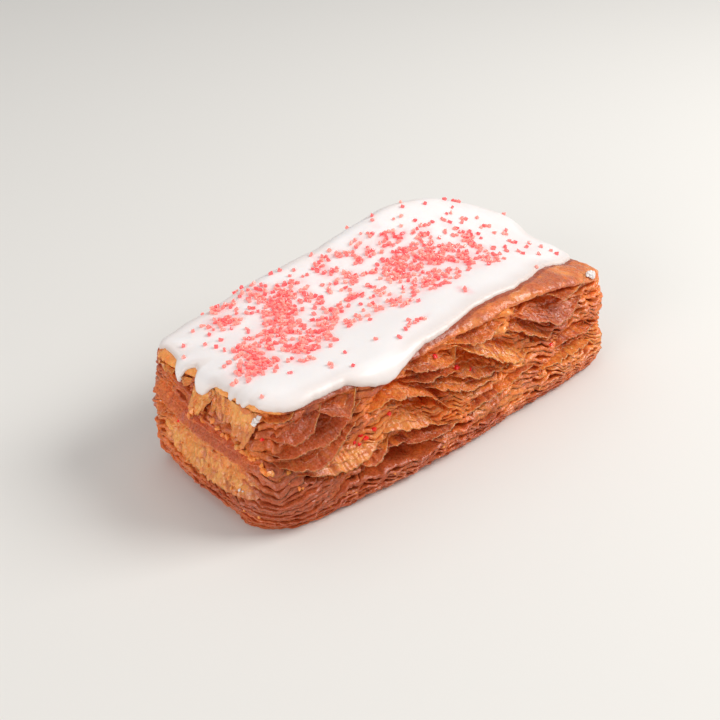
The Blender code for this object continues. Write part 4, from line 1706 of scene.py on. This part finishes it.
@dataclass
class Icing:
    """The white icing: one thick skin over the top that ran over the rim in drips and scallops."""

    form: BarForm
    crust: PastryCrust
    noise: Noise
    step: float = 0.25
    rows: int = 62
    thickness: float = 1.9
    edge_round: float = 1.35
    smoothing: tuple[float, int] = (0.05, 12)
    evening: tuple[float, int] = (0.5, 16)
    sunk: float = 0.35
    fold: float = 138.75
    edge_thickness: Table = (
        (0, 0.9), (8, 1.5), (25, 1.8), (38, 1.6), (60, 1.1), (100, 0.9), (125, 0.9), (150, 1.2), (190, 1.4),
        (250, 1.2), (278, 0.9), (285, 0.75), (316, 0.8),
    )
    edge: Table = (
        (0.8, 0.5), (4, 0.8), (9, 0.4), (15.2, -0.2), (19.8, -0.3), (22.8, 1.1), (26.8, 2.7), (30, 3.3),
        (33, 3.1), (36.2, 1.7), (40, 0.3), (45, -1), (51.5, -1.2), (58, -2.4), (65.5, -3.7), (73, -4),
        (81, -3.8), (88, -5), (96.5, -7.7), (104, -9.6), (111, -10.8), (118, -10.6), (122, -8.2),
        (126, -3.8), (128.5, -0.6), (130.5, 0.6), (132.4, 2), (134.4, 3.2), (136.4, 2.2), (139, 0.4),
        (144, -0.4), (148, 0.8), (150.6, 3.4), (152.4, 4), (154.2, 3), (157, 0.6), (162, -0.2), (168, 0.6),
        (175, 1.6), (182, 1.2), (190, 0), (197, 0.6), (204, 2), (208, 3.4), (211.5, 3.8), (215, 2.4),
        (220, 0.8), (228, 0.2), (235, 1), (241, 2.2), (246, 1.6), (252, 0.2), (260, -0.4), (267, 0.8),
        (272, 1), (276, 0.5), (278.6, 0.1), (280.4, -1.3), (284.4, -1.5), (287.6, -0.6), (288.9, 1.6),
        (289.8, 3.6), (290.5, 3.8), (291.3, 2.6), (292.3, 0), (294, -1.5), (295.6, -0.9), (296.3, 1.6),
        (296.8, 3.7), (298.2, 4.3), (299.9, 4), (301.2, 2.4), (302, 1.5), (303.6, 0.1), (306.6, 0.3),
        (308.6, -0.2), (309.4, 1), (310.4, 1.3), (311, 0.3), (311.8, 0.2), (312.6, 1.2), (313.8, 0.7),
        (314.6, 1.3), (315.4, 1), (316.1, -0.2), (317.6, 0.1), (318.6, 0.3),
    )

    def edge_path(self, distance: Array) -> Array:
        """The icing's edge: its path from the rim at each distance round it.

        Args:
            distance: distance round the rim.

        Returns:
            The path, smoothed between the named points and with a small wander.
        """
        rim = self.form.rim_point(distance)
        wander = self.noise.layered(np.concatenate([rim / 3.2, np.full((len(rim), 1), 0.7)], axis=-1), 2)
        return self.smoothed_edge(distance, *self.smoothing) + 0.22 * wander

    def smoothed_edge(self, distance: Array, step: float, half: int) -> Array:
        """The icing's edge as the named points give it, evened over a stretch of the rim.

        Args:
            distance: distance round the rim.
            step: the step of the line that is evened.
            half: how many steps to each side are evened together.

        Returns:
            The path at each distance.
        """
        around, named = self.form.perimeter, np.array(self.edge)
        fine = np.arange(0, around, step)
        run = np.interp(fine, named[:, 0], named[:, 1], period=around)
        window = np.hanning(2 * half + 1)
        longer = np.concatenate([run[-half:], run, run[:half]])
        evened = np.convolve(longer, window / window.sum(), mode="valid")
        return np.interp(distance, fine, evened, period=around)

    def height(self, distance: Array, path: Array, edge: Array) -> Array:
        """Height of the icing's top off the smooth outside.

        Args:
            distance: distance round the rim, by row and column.
            path: path from the rim, by row and column.
            edge: the edge's points in space.

        Returns:
            The height, by row and column.
        """
        flat = self.form.skin(distance, path)
        tree = KDTree(len(edge))
        for k, point in enumerate(edge):
            tree.insert(point, k)
        tree.balance()
        near = np.array([tree.find(point)[2] for point in flat.reshape(-1, 3)]).reshape(path.shape)
        named = np.array(self.edge_thickness)
        thin = np.interp(distance[0], named[:, 0], named[:, 1], period=self.form.perimeter)
        share = np.clip(near / (self.edge_round * thin), 0, 1)
        rise = np.sqrt(1 - (1 - share) ** 2)
        inside = self.smoothed_edge(distance[0], *self.evening) - path
        pool = 1 + 0.12 * self.noise.at(flat / 15.0 + 2.0)
        full = thin + (self.thickness * pool - thin) * smooth_step(0.0, 11.0, inside)
        skin = self.crust.bed(distance, path) * (1 - 0.7 * smooth_step(1.0, 12.0, inside))
        return skin + full * rise - 0.05

    def build(self, material: Material, heaps: "SugarHeaps") -> SceneObject:
        """Builds the icing as one closed piece.

        Args:
            material: its finish.
            heaps: where the sugar lies, which stains the icing under it and tints it with painted pink light.

        Returns:
            The icing.
        """
        around = self.form.perimeter
        columns = np.linspace(0, around, 2 * round(around / (2 * self.step)), endpoint=False)
        edge = self.edge_path(columns)
        last = -self.form.quarter_turn - self.form.way_in(columns) * 0.985
        share = np.linspace(0, 1, self.rows)[:, None] ** 2.2
        path = edge + (last - edge) * share
        distance = np.broadcast_to(columns, path.shape)
        dense = np.arange(0, self.form.perimeter, 0.1)
        rim = self.form.skin(dense, self.edge_path(dense))
        top = self.form.skin(distance, path, self.height(distance, path, rim))
        under_share = np.array([1.0, 0.5, 0.2, 0.06, 0.015])[:, None]
        under_path = edge + (last - edge) * under_share
        under_lift = self.crust.bed(np.broadcast_to(columns, under_path.shape), under_path) - self.sunk
        under = self.form.skin(columns, under_path, under_lift)
        rings = np.concatenate([under, top])
        inside = np.concatenate([edge - under_path, edge - path])
        # Greyer towards the edge: partly dough showing through thin icing, partly painted shade.
        thin = 0.55 * smooth_step(5.5, 0.0, inside) + 0.45 * smooth_step(1.4, 0.0, inside)
        # The pink is partly stain, partly painted light bounced from the sugar.
        values = {"stain": heaps.fullness(rings), "thin": thin}
        fold = round(self.fold * len(columns) / around)
        return ring_piece("icing_skin", rings, values, fold).to_object(material)


@dataclass(frozen=True)
class SugarHeaps:
    """Where the sugar was thrown: two thick heaps with ragged patches and trails round them, in plan.

    Attributes:
        patches: for each patch its middle x and y, half length, half width, turn in degrees and
            how full it is.
        strays: where single crystals lie.
        thin: how full the rest of the icing is.
        clump: the size of the clumps and bare spots inside a patch, in millimetres.
        single: the reach of a place that takes one crystal.
        noise: the noise that breaks the patches up.
    """

    noise: Noise
    patches: Table = (
        (-27, 11.5, 10, 6, 40, 1), (-33, 4, 9, 5.5, 50, 0.9), (-44, -1, 10, 5, 42, 0.75),
        (-49, -7.5, 6, 4.2, 0, 1), (-41, 16, 5.5, 4.2, 0, 0.8), (-38, 22, 4, 3, 0, 0.7),
        (-28, 21.5, 4.5, 4, 30, 0.8), (-21, 17, 8, 3.5, 0, 0.7), (-18, 10, 2.6, 5, 0, 0.7),
        (-33, -6, 8, 3.5, 20, 0.75), (-36, -10.5, 6.5, 2.4, 8, 0.75), (-40, -13.5, 3, 2, -40, 0.5),
        (-28.5, -8, 2.4, 4.6, -30, 0.6), (-21, 0, 7, 3.2, 10, 0.8), (-25, -3.5, 4.5, 3, 0, 0.7),
        (-17.5, -7.5, 4.4, 2.2, -10, 0.75), (-9, -7.4, 7, 1.8, 0, 0.7), (-3.5, -8.6, 3.6, 3, 0, 0.85),
        (-9, 3.2, 4.6, 1.7, 22, 0.8), (-6.5, -2.5, 6.5, 1.5, 38, 0.7), (-2.8, 0.5, 2, 3, 0, 0.6),
        (-3, -4, 1.7, 3.2, 0, 0.6), (-4.5, 10.5, 4.6, 3.2, -15, 0.85), (-7, 17.5, 2.6, 4, -20, 0.8),
        (-4.5, 21.5, 2, 3.6, 0, 0.5), (0.5, 20, 2.4, 2.4, 0, 0.6), (-11.5, 12, 1.4, 4, 0, 0.4),
        (18.5, 2, 6, 5, 0, 1), (8.5, 4, 7.5, 6.5, 0, 0.9), (10, -6, 9.5, 5, 0, 0.7),
        (24, -1.5, 6.5, 7.5, 0, 0.75), (16, 8, 9, 3, -10, 0.7), (30.5, -7, 3.4, 5, -30, 0.7),
        (34, 5, 5, 2.6, 20, 0.7), (33, -1, 3, 3.5, 0, 0.7), (32.5, 11, 2.4, 3.6, -15, 0.4),
        (13, 14.5, 11.5, 2.6, -9, 0.75), (3.5, 14.5, 3.2, 2.6, 0, 0.7), (23, 10.5, 4.2, 3.4, 0, 0.6),
        (8, 20, 4.5, 2.4, 0, 0.4), (14.8, 20.5, 1.4, 2.6, 0, 0.4), (11, -16.5, 1.6, 2.6, 0, 0.9),
        (45, 0, 9, 11, 0, 0.16), (-9.5, -19.6, 5, 1, 8, 0.5), (-32, 8, 24, 16, 20, 0.1),
        (18, 6, 24, 15, 0, 0.1), (-8, 6, 12, 14, 0, 0.08),
    )
    strays: Table = (
        (-50.2, -18.6), (-37, -20.2), (-33.2, -23.6), (-31.2, -18.2), (-22, -18.2), (-45.5, -15.4),
        (-53, 14.2), (-49, 18), (-49.2, 11.6), (-49.8, 6.6), (2, -13.6), (19.2, -13.4), (24, -14),
        (51.2, -20.6), (-16, 25), (-11, 26.6), (36, 14.6), (40.2, 11.4), (46.8, 21.4), (-60.4, -19),
        (52.8, 8.2),
    )
    thin: float = 0.011
    clump: float = 2.3
    single: float = 0.5

    def fullness(self, points: Array) -> Array:
        """How full the patches are over each point, without their clumps, 0 to 1.

        Args:
            points: points in millimetres, in the frame's place.

        Returns:
            The fullness at each point.
        """
        most = np.full(points.shape[:-1], self.thin)
        for x, y, long, short, turn, weight in self.patches:
            angle = np.radians(turn)
            dx, dy = points[..., 0] - x, points[..., 1] - y
            along = dx * np.cos(angle) + dy * np.sin(angle)
            across = dy * np.cos(angle) - dx * np.sin(angle)
            most = np.maximum(most, weight * np.exp(-((along / long) ** 2 + (across / short) ** 2) ** 1.4))
        return most

    def crowd(self, points: Array) -> Array:
        """How thick the sugar lies over each point, 0 to 1.

        Args:
            points: points in millimetres, in the frame's place.

        Returns:
            The crowd at each point.
        """
        full = self.fullness(points)
        clumps = smooth_step(-0.6, 0.05, self.noise.at(points / self.clump + 3.3))
        crowd = full * (clumps + (1 - clumps) * smooth_step(0.7, 1.0, full))
        for x, y in self.strays:
            off = ((points[..., 0] - x) ** 2 + (points[..., 1] - y) ** 2) / self.single ** 2
            crowd = np.maximum(crowd, np.exp(-off ** 2))
        return crowd


@dataclass
class ScatterTree:
    """A Geometry Nodes tree that scatters a few shapes over a surface, each turned and sized apart.

    Attributes:
        name: the tree's name.
        first_seed: fixes the random values.
        most_picked: the highest number drawn for the choice of a shape.
        sockets: the identifier of each input.
    """

    name: str
    first_seed: int = 20
    most_picked: int = 99
    sockets: dict[str, str] = field(default_factory=dict)

    def drawn(self, sheet: TreeSheet, number: int, data_type: str, *ends: object) -> Socket:
        """Adds a random value for each place.

        Args:
            sheet: the tree's sheet.
            number: the value's number, which fixes its draw.
            data_type: the kind of value.
            ends: its least and its most, where they aren't 0 and 1.

        Returns:
            The value.
        """
        node = sheet.add("FunctionNodeRandomValue", {"data_type": data_type}, Seed=self.first_seed + number)
        kind = {"FLOAT": "VALUE", "FLOAT_VECTOR": "VECTOR"}.get(data_type, data_type)
        sockets = [socket for socket in node.inputs if socket.type == kind and socket.name in ("Min", "Max")]
        for socket, value in zip(sockets, ends):
            sheet.put(socket, value)
        return next(socket for socket in node.outputs if socket.type == kind)

    def build(self, material: Material) -> bpy.types.NodeTree:
        """Builds the tree.

        Args:
            material: the finish that the scattered shapes get.

        Returns:
            The tree. Its inputs' identifiers are then in sockets.
        """
        tree = bpy.data.node_groups.new(self.name, "GeometryNodeTree")
        kinds = {
            "Geometry": "Geometry", "Shapes": "Collection", "Spacing": "Float", "Density": "Float",
            "Seed": "Int", "Smallest": "Vector", "Largest": "Vector", "Raise": "Float", "Lean": "Float",
        }
        for label, kind in kinds.items():
            socket = tree.interface.new_socket(label, in_out="INPUT", socket_type="NodeSocket" + kind)
            self.sockets[label] = socket.identifier
        tree.interface.new_socket("Geometry", in_out="OUTPUT", socket_type="NodeSocketGeometry")
        sheet = TreeSheet(tree)
        given = sheet.add("NodeGroupInput").outputs
        named = sheet.add("GeometryNodeInputNamedAttribute", {"data_type": "FLOAT"}, Name="crowd")
        crowd = next(socket for socket in named.outputs if socket.type == "VALUE")
        spread = sheet.add(
            "GeometryNodeDistributePointsOnFaces", {"distribute_method": "POISSON"}, Mesh=given["Geometry"],
            Distance_Min=given["Spacing"], Density_Max=given["Density"], Density_Factor=crowd,
            Seed=given["Seed"],
        ).outputs
        shift = sheet.add("ShaderNodeVectorMath", {"operation": "SCALE"}, Scale=given["Raise"])
        sheet.put(shift.inputs[0], spread["Normal"])
        raised = sheet.add(
            "GeometryNodeSetPosition", None, Geometry=spread["Points"], Offset=shift.outputs[0])
        shapes = sheet.add(
            "GeometryNodeCollectionInfo", {"transform_space": "ORIGINAL"}, Collection=given["Shapes"],
            Separate_Children=True, Reset_Children=True,
        )
        pick = self.drawn(sheet, 0, "INT", 0, self.most_picked)
        size = self.drawn(sheet, 1, "FLOAT_VECTOR", given["Smallest"], given["Largest"])
        tint = self.drawn(sheet, 2, "FLOAT")
        back = sheet.fed("ShaderNodeMath", {"operation": "MULTIPLY"}, given["Lean"], -1.0)
        ends = (
            sheet.fed("ShaderNodeCombineXYZ", None, tilt, tilt, turn)
            for tilt, turn in ((back, -np.pi), (given["Lean"], np.pi))
        )
        lean = sheet.fed("FunctionNodeEulerToRotation", None, self.drawn(sheet, 3, "FLOAT_VECTOR", *ends))
        turned = sheet.fed(
            "FunctionNodeRotateRotation", {"rotation_space": "LOCAL"}, spread["Rotation"], lean)
        placed = sheet.add(
            "GeometryNodeInstanceOnPoints", None, Points=raised.outputs[0], Instance=shapes.outputs[0],
            Pick_Instance=True, Instance_Index=pick, Rotation=turned, Scale=size,
        )
        stored = sheet.add(
            "GeometryNodeStoreNamedAttribute", {"data_type": "FLOAT", "domain": "INSTANCE"},
            Geometry=placed.outputs[0], Name="tint", Value=tint,
        )
        real = sheet.fed("GeometryNodeRealizeInstances", None, stored.outputs[0])
        dressed = sheet.add("GeometryNodeSetMaterial", None, Geometry=real, Material=material)
        sheet.add("NodeGroupOutput", None, Geometry=dressed.outputs[0])
        return tree


def scatter(name: str, ground: MeshPiece, shapes: list[SceneObject], material: Material,
            values: dict[str, object]) -> SceneObject:
    """Scatters shapes over a surface and returns them as one plain mesh.

    Args:
        name: the new piece's name.
        ground: the surface, with the value crowd at its points.
        shapes: the shapes, near 1 mm across at the origin. They are removed afterwards.
        material: the finish of the new piece.
        values: the tree's inputs by name.

    Returns:
        The piece.
    """
    group = ScatterTree(f"{name}_tree")
    tree = group.build(material)
    folder = bpy.data.collections.new(f"{name}_shapes")
    for shape in shapes:
        folder.objects.link(shape)
    carrier = ground.to_object(material)
    modifier = carrier.modifiers.new(name, "NODES")
    modifier.node_group = tree
    for label, value in {**values, "Shapes": folder}.items():
        modifier[group.sockets[label]] = value
    carrier.update_tag()
    bpy.context.view_layer.update()
    graph = bpy.context.evaluated_depsgraph_get()
    mesh = bpy.data.meshes.new_from_object(carrier.evaluated_get(graph), depsgraph=graph)
    mesh.name = name
    mesh.materials.clear()
    mesh.materials.append(material)
    carrier.modifiers.clear()
    for thing in (carrier, *shapes):
        bpy.data.objects.remove(thing)
    bpy.data.collections.remove(folder)
    return placed_object(name, mesh)


class BitKind(Enum):
    """What a small bit is."""

    CRYSTAL = "crystal"
    DAB = "dab"
    CRUMB = "crumb"


@dataclass(frozen=True)
class BitShapes:
    """The few shapes of one kind of small bit, each near 1 mm across at the origin.

    Attributes:
        kind: what the bits are. A crystal is a lopsided block with worn edges, and the others are
            lumps with an uneven outline.
        sides: the three sides of each shape, in millimetres.
        wear: the width of a crystal's worn edges, in millimetres.
        lopsided: how far a crystal's corners are pushed at most, for a side of 1.
        uneven: how far a lump's corners stand out, for a middle distance of 1.
    """

    kind: BitKind
    sides: Table
    wear: float = 0.1
    lopsided: float = 0.14
    uneven: Pair = (0.65, 1.25)

    def build(self) -> list[SceneObject]:
        """Builds a shape for each row of sides."""
        return [self.shape(number, np.array(sides)) for number, sides in enumerate(self.sides)]

    def shape(self, number: int, sides: Array) -> SceneObject:
        """Builds one shape.

        Args:
            number: its number, which fixes how it is lopsided.
            sides: its three sides in millimetres.

        Returns:
            The shape at the origin, outside the scene.
        """
        generator = np.random.default_rng(SEED + number)
        work = bmesh.new()
        block = self.kind is BitKind.CRYSTAL
        if block:
            bmesh.ops.create_cube(work, size=1.0)
        else:
            bmesh.ops.create_icosphere(work, subdivisions=1, radius=0.5)
        for corner in work.verts:
            moved = np.array(corner.co, float)
            if block:
                moved = moved + generator.uniform(-self.lopsided, self.lopsided, 3)
            else:
                moved = moved * generator.uniform(*self.uneven)
            corner.co = Vector(moved * sides * MM)
        if block:
            bmesh.ops.bevel(
                work, geom=list(work.edges), offset=self.wear * MM, offset_type="OFFSET", segments=1,
                profile=0.5, affect="EDGES", clamp_overlap=True,
            )
        bmesh.ops.recalc_face_normals(work, faces=work.faces)
        name = f"{self.kind.value}_{number}"
        mesh = bpy.data.meshes.new(name)
        work.to_mesh(mesh)
        work.free()
        return bpy.data.objects.new(name, mesh)


@dataclass
class Sugar:
    """The coarse pink sugar that lies on the icing. Its spacing and its height over it are in metres."""

    heaps: SugarHeaps
    crystals: BitShapes
    spacing: float = 0.00084
    density: float = 4000000.0
    height: float = 0.00025
    seed: int = 4
    smallest: float = 0.72
    largest: float = 1.05
    lean: float = 0.6

    def build(self, icing: SceneObject, material: Material) -> SceneObject:
        """Scatters the sugar over the icing's top.

        Args:
            icing: the icing's finished skin.
            material: the sugar's finish.

        Returns:
            The sugar as one piece.
        """
        ground = top_of(icing)
        ground.values["crowd"] = self.heaps.crowd(ground.points)
        return scatter("sugar_crystals", ground, self.crystals.build(), material, {
            "Spacing": self.spacing, "Density": self.density, "Seed": self.seed, "Raise": self.height,
            "Lean": self.lean, "Smallest": 3 * (self.smallest,), "Largest": 3 * (self.largest,),
        })


@dataclass
class LooseBits:
    """Bits that fell on the sides, each set down where it touches the dough.

    Attributes:
        form: the bar's smooth outside.
        dough: the finished pieces of dough.
        start: how far outside the bar the search for a place begins, in millimetres.
        sunk: how far a bit's middle stands out of the dough, for a size of 1.
        lean: how far a bit leans at most, in radians.
    """

    form: BarForm
    dough: list[SceneObject]
    start: float = 9.0
    sunk: float = 0.25
    lean: float = 0.4

    def __post_init__(self) -> None:
        """Makes the dough ready for the search for places."""
        graph = bpy.context.evaluated_depsgraph_get()
        self.trees = [BVHTree.FromObject(piece, graph) for piece in self.dough]

    def touch(self, distance: float, height: float) -> tuple[Vector, Vector]:
        """Finds where a bit lies.

        Args:
            distance: distance round the rim.
            height: height over the floor, as if the side went on up over the rim.

        Returns:
            The place on the dough and the way the dough faces there.
        """
        form, along = self.form, np.array([distance])
        path = form.quarter_turn + form.rim_height(along) - form.rim_radius - height
        outside, inside = (
            Vector(form.skin(along, path, np.array([lift]))[0]) * MM for lift in (self.start, -self.start))
        way = (inside - outside).normalized()
        hits = [hit for hit in (tree.ray_cast(outside, way) for tree in self.trees) if hit[0] is not None]
        place, facing, _, _ = min(hits, key=lambda hit: hit[3])
        return place, facing if facing.dot(way) < 0 else -facing

    def build(self, name: str, spots: Table, kind: BitShapes, value: str, material: Material) -> SceneObject:
        """Builds one kind of bit as one piece.

        Args:
            name: the piece's name.
            spots: for each bit its distance round the rim, height and size.
            kind: the shapes of the bits.
            value: the name of the value that the finish reads, drawn for each bit.
            material: its finish.

        Returns:
            The piece.
        """
        shapes = kind.build()
        generator = np.random.default_rng(SEED)
        work = bmesh.new()
        layer = work.verts.layers.float.new(value)
        for number, (distance, height, size) in enumerate(spots):
            place, facing = self.touch(distance, height)
            tilt = generator.uniform(-self.lean, self.lean, 2)
            lean = Euler((*tilt, generator.uniform(-np.pi, np.pi))).to_quaternion()
            turn = facing.to_track_quat("Z", "Y") @ lean
            first, drawn = len(work.verts), generator.uniform(0.3, 1.0)
            work.from_mesh(shapes[number % len(shapes)].data)
            work.verts.ensure_lookup_table()
            middle = place + facing * self.sunk * size * MM
            matrix = Matrix.LocRotScale(middle, turn, Vector((size, size, size)))
            for corner in work.verts[first:]:
                corner.co = matrix @ corner.co
                corner[layer] = drawn
        mesh = bpy.data.meshes.new(name)
        work.to_mesh(mesh)
        work.free()
        mesh.materials.append(material)
        for shape in shapes:
            bpy.data.objects.remove(shape)
        return placed_object(name, mesh)


@dataclass(frozen=True)
class Fallen:
    """What fell on the sides: distance round the rim, height and size of each bit.

    Attributes:
        crystals: red crystals.
        white: specks and dabs of icing.
        crumbs: pale crumbs of dough.
    """

    crystals: Table = (
        (32.5, 20, 0.8), (28, 17.5, 0.9), (25, 16.5, 0.9), (24.2, 17.2, 0.8), (23, 15.3, 0.9),
        (22.2, 15.8, 0.7), (48.5, 29, 0.9), (48.5, 20.3, 0.8), (52.4, 23, 0.8), (53.6, 23.2, 0.9),
        (55.6, 22.8, 0.8), (56.8, 22.5, 0.9), (60, 21.3, 0.8), (57, 30, 0.8), (-32.5, 15.5, 0.9),
        (-3.5, 24, 0.8), (71, 20, 0.7), (90, 17, 0.7), (139, 18, 0.9), (163, 26, 0.8), (171, 12, 0.8),
        (192, 21, 0.9), (214, 15, 0.8), (238, 24, 0.8), (259, 13, 0.8),
    )
    white: Table = (
        (-4.2, 28.9, 1.5), (-3.9, 29.5, 1.7), (-3.6, 30.1, 1.7), (-3.3, 30.8, 1.5), (-6.8, 10.5, 0.9),
        (-6, 10.8, 0.7), (-45.8, 12.1, 0.9), (-45.2, 12.7, 0.7), (-40.2, 17.6, 0.7), (109.4, 29.4, 1.6),
        (110.1, 28.8, 1.7), (111, 28.4, 1.8), (111.9, 28.3, 1.7), (112.6, 28.8, 1.6), (112.2, 29.6, 1.5),
        (111.2, 29.9, 1.4), (110.2, 29.9, 1.3), (110.6, 29.3, 1.9), (111.5, 29.1, 1.9), (150, 24, 0.8),
        (203, 18, 0.7), (247, 20, 0.8),
    )
    crumbs: Table = (
        (-15, 21, 1.9), (-14.2, 20.6, 1.4), (-10, 21, 1.8), (-9.2, 20.4, 1.6), (-8, 20.8, 2.1),
        (-7.2, 20.2, 1.5), (-6.3, 20.6, 1.8), (-5.4, 20.3, 1.5), (-4.5, 20, 1.9), (-3.8, 19.6, 1.4),
        (-2.4, 18.2, 1.5), (-1.5, 17.5, 2.2), (-0.8, 17.4, 1.9), (-0.2, 17.2, 1.5), (-12, 22, 1.6),
        (-13, 21.2, 1.7), (-16.4, 22, 1.6), (-18, 23, 1.9), (-22, 21.6, 1.8), (-23.5, 22.4, 2.2),
        (-25.4, 21.9, 1.9), (-26.4, 22.6, 1.7), (-24.4, 23.2, 2), (1.2, 14.6, 0.8), (3, 13.9, 0.8),
        (-9, 10, 0.9), (-8, 9.2, 0.7), (-20, 9.6, 0.7), (-30, 11, 0.7), (14, 3.6, 0.9), (12.6, 3.2, 0.7),
        (20, 4.2, 0.8), (31, 5, 0.7), (-3, 4.5, 0.8), (-6, 5, 0.7), (3, 16.1, 1.2), (4.6, 12.6, 1.1),
        (5.2, 12.4, 0.8), (31.6, 9.6, 1.4), (47, 6, 0.8), (66, 5, 0.7), (85, 6, 0.8), (104, 5, 0.7),
        (133, 9, 0.8), (158, 6, 0.9), (181, 8, 0.8), (201, 11, 0.9), (229, 7, 0.8), (251, 9, 0.8),
        (268, 6, 0.7),
    )


def top_of(skin: SceneObject, least_up: float = 0.35) -> MeshPiece:
    """The faces of a piece that look up, as a surface to scatter on.

    Args:
        skin: the piece.
        least_up: how far up a face looks at least, 1 for straight up.

    Returns:
        The surface in millimetres.
    """
    mesh = skin.data
    points = np.empty(len(mesh.vertices) * 3, np.float32)
    mesh.vertices.foreach_get("co", points)
    normals = np.empty(len(mesh.polygons) * 3, np.float32)
    mesh.polygons.foreach_get("normal", normals)
    points, normals = points.reshape(-1, 3) / MM, normals.reshape(-1, 3)
    keep = [face for face in mesh.polygons if face.loop_total == 4 and normals[face.index, 2] > least_up]
    corners = np.array([tuple(face.vertices) for face in keep])
    used, index = np.unique(corners, return_inverse=True)
    return MeshPiece(f"{skin.name}_top", points[used], index.reshape(corners.shape))


@dataclass(frozen=True)
class Lamp:
    """A square soft lamp that looks at the bar, with angles in degrees, sizes in metres and watts."""

    name: str
    azimuth: float
    elevation: float
    away: float
    side: float
    power: float
    colour: Triple


@dataclass(frozen=True)
class Studio:
    """A pale floor, soft lights and the camera at the photograph's angle."""

    target: Triple = (-9.64, 0.29, 16.0)
    azimuth: float = -42.2
    elevation: float = 31.8
    away: float = 316.0
    lens: float = 60.0
    film: float = 36.0
    nearest: float = 0.01
    floor_side: float = 3.0
    floor_drop: float = 0.0002
    room: Colour = (1.0, 0.99, 0.98, 1.0)
    room_light: float = 0.4
    lamps: tuple[Lamp, ...] = (
        Lamp("key_lamp", 56.0, 41.0, 0.75, 0.38, 4.3, (1.0, 0.985, 0.96)),
        Lamp("fill_lamp", -78.0, 18.0, 0.9, 0.45, 3.1, (1.0, 0.99, 0.98)),
        Lamp("top_lamp", 170.0, 70.0, 0.8, 0.6, 0.8, (1.0, 1.0, 1.0)),
    )

    def aim(self, thing: SceneObject, azimuth: float, elevation: float, away: float) -> None:
        """Puts a lamp or camera where it looks at the bar.

        Args:
            thing: the lamp or camera.
            azimuth: where it stands round the bar, in degrees.
            elevation: how high it stands, in degrees.
            away: its distance in metres.
        """
        around, up = np.radians(azimuth), np.radians(elevation)
        way = Vector((np.sin(around) * np.cos(up), -np.cos(around) * np.cos(up), np.sin(up)))
        thing.location = Vector(self.target) * MM + way * away
        thing.rotation_euler = (-way).to_track_quat("-Z", "Y").to_euler()

    def lay_floor(self) -> None:
        """Lays the pale floor under the bar."""
        half = self.floor_side / 2
        mesh = bpy.data.meshes.new("studio_floor")
        ends = ((-half, -half), (half, -half), (half, half), (-half, half))
        mesh.from_pydata([(x, y, -self.floor_drop) for x, y in ends], [], [(0, 1, 2, 3)])
        mesh.materials.append(FloorFinish().material())
        floor = placed_object("studio_floor", mesh)

    def build(self) -> None:
        """Builds the floor, the lamps, the pale surroundings and the camera."""
        self.lay_floor()
        scene = bpy.context.scene
        for lamp in self.lamps:
            light = bpy.data.lights.new(lamp.name, "AREA")
            light.size, light.energy, light.color = lamp.side, lamp.power, lamp.colour
            self.aim(placed_object(lamp.name, light), lamp.azimuth, lamp.elevation, lamp.away)
        scene.world = bpy.data.worlds.new("pale_room")
        scene.world.use_nodes = True
        background = scene.world.node_tree.nodes["Background"].inputs
        background["Color"].default_value, background["Strength"].default_value = self.room, self.room_light
        lens = bpy.data.cameras.new("camera")
        lens.lens, lens.sensor_width, lens.sensor_fit = self.lens, self.film, "HORIZONTAL"
        lens.clip_start = self.nearest
        scene.camera = placed_object("camera", lens)
        self.aim(scene.camera, self.azimuth, self.elevation, self.away * MM)
        scene.view_settings.view_transform = "Standard"


def main() -> None:
    """Builds the bar from its dough to its sugar, dresses it and sets the stage."""
    logging.basicConfig(level=logging.INFO, format="%(message)s")
    form, noise = BarForm(), Noise(SEED)
    dough, white, pink = (finish.material() for finish in (DoughFinish(), IcingFinish(), SugarFinish()))
    red = SugarFinish(
        "red_sugar", from_srgb(244, 74, 62), from_srgb(222, 26, 34), from_srgb(222, 30, 34)).material()
    hidden = HiddenLeaves(form).leaves(SEED)
    lamination = Lamination(form, noise, leaves=NEAR_LEAVES + LEFT_LEAVES + hidden)
    sides = PastrySides(form, lamination, noise)
    peeled = PastryLeaves(form, sides, noise)
    crust = PastryCrust(form, lamination, sides, noise)
    glaze, heaps = Icing(form, crust, noise), SugarHeaps(noise)
    pastry = sides.build(dough)
    for place, leaves in (("near", NEAR_LEAVES), ("left", LEFT_LEAVES), ("far", hidden)):
        pastry.append(peeled.build(f"pastry_leaves_{place}", leaves, dough))
    pastry.append(crust.build(dough, glaze.edge_path(lamination.distance)))
    crystals = BitShapes(BitKind.CRYSTAL, (
        (1.0, 1.0, 0.95), (1.25, 0.9, 0.8), (0.9, 1.1, 1.0), (1.45, 0.8, 0.8), (0.85, 0.85, 0.7)))
    dabs = BitShapes(BitKind.DAB, 3 * ((1.1, 0.9, 0.6),))
    crumbs = BitShapes(BitKind.CRUMB, 4 * ((1.2, 0.9, 0.8),))
    icing = [glaze.build(white, heaps)]
    icing.append(Sugar(heaps, crystals).build(icing[0], pink))
    bits, fallen = LooseBits(form, list(pastry)), Fallen()
    icing.append(bits.build("sugar_on_sides", fallen.crystals, crystals, "tint", red))
    icing.append(bits.build("icing_bits", fallen.white, dabs, "thin", white))
    pastry.append(bits.build("dough_crumbs", fallen.crumbs, crumbs, "golden", dough))
    for piece in pastry:
        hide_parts("pastry")
    for piece in icing:
        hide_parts("icing")
    for piece in (*pastry, *icing):
        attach(piece, "root")
        LOG.info("%s: %d faces, dressed and in place", piece.name, len(piece.data.polygons))
    Studio().build()
    LOG.info("studio_floor, lamps and camera in place")


if __name__ == "__main__":
    main()
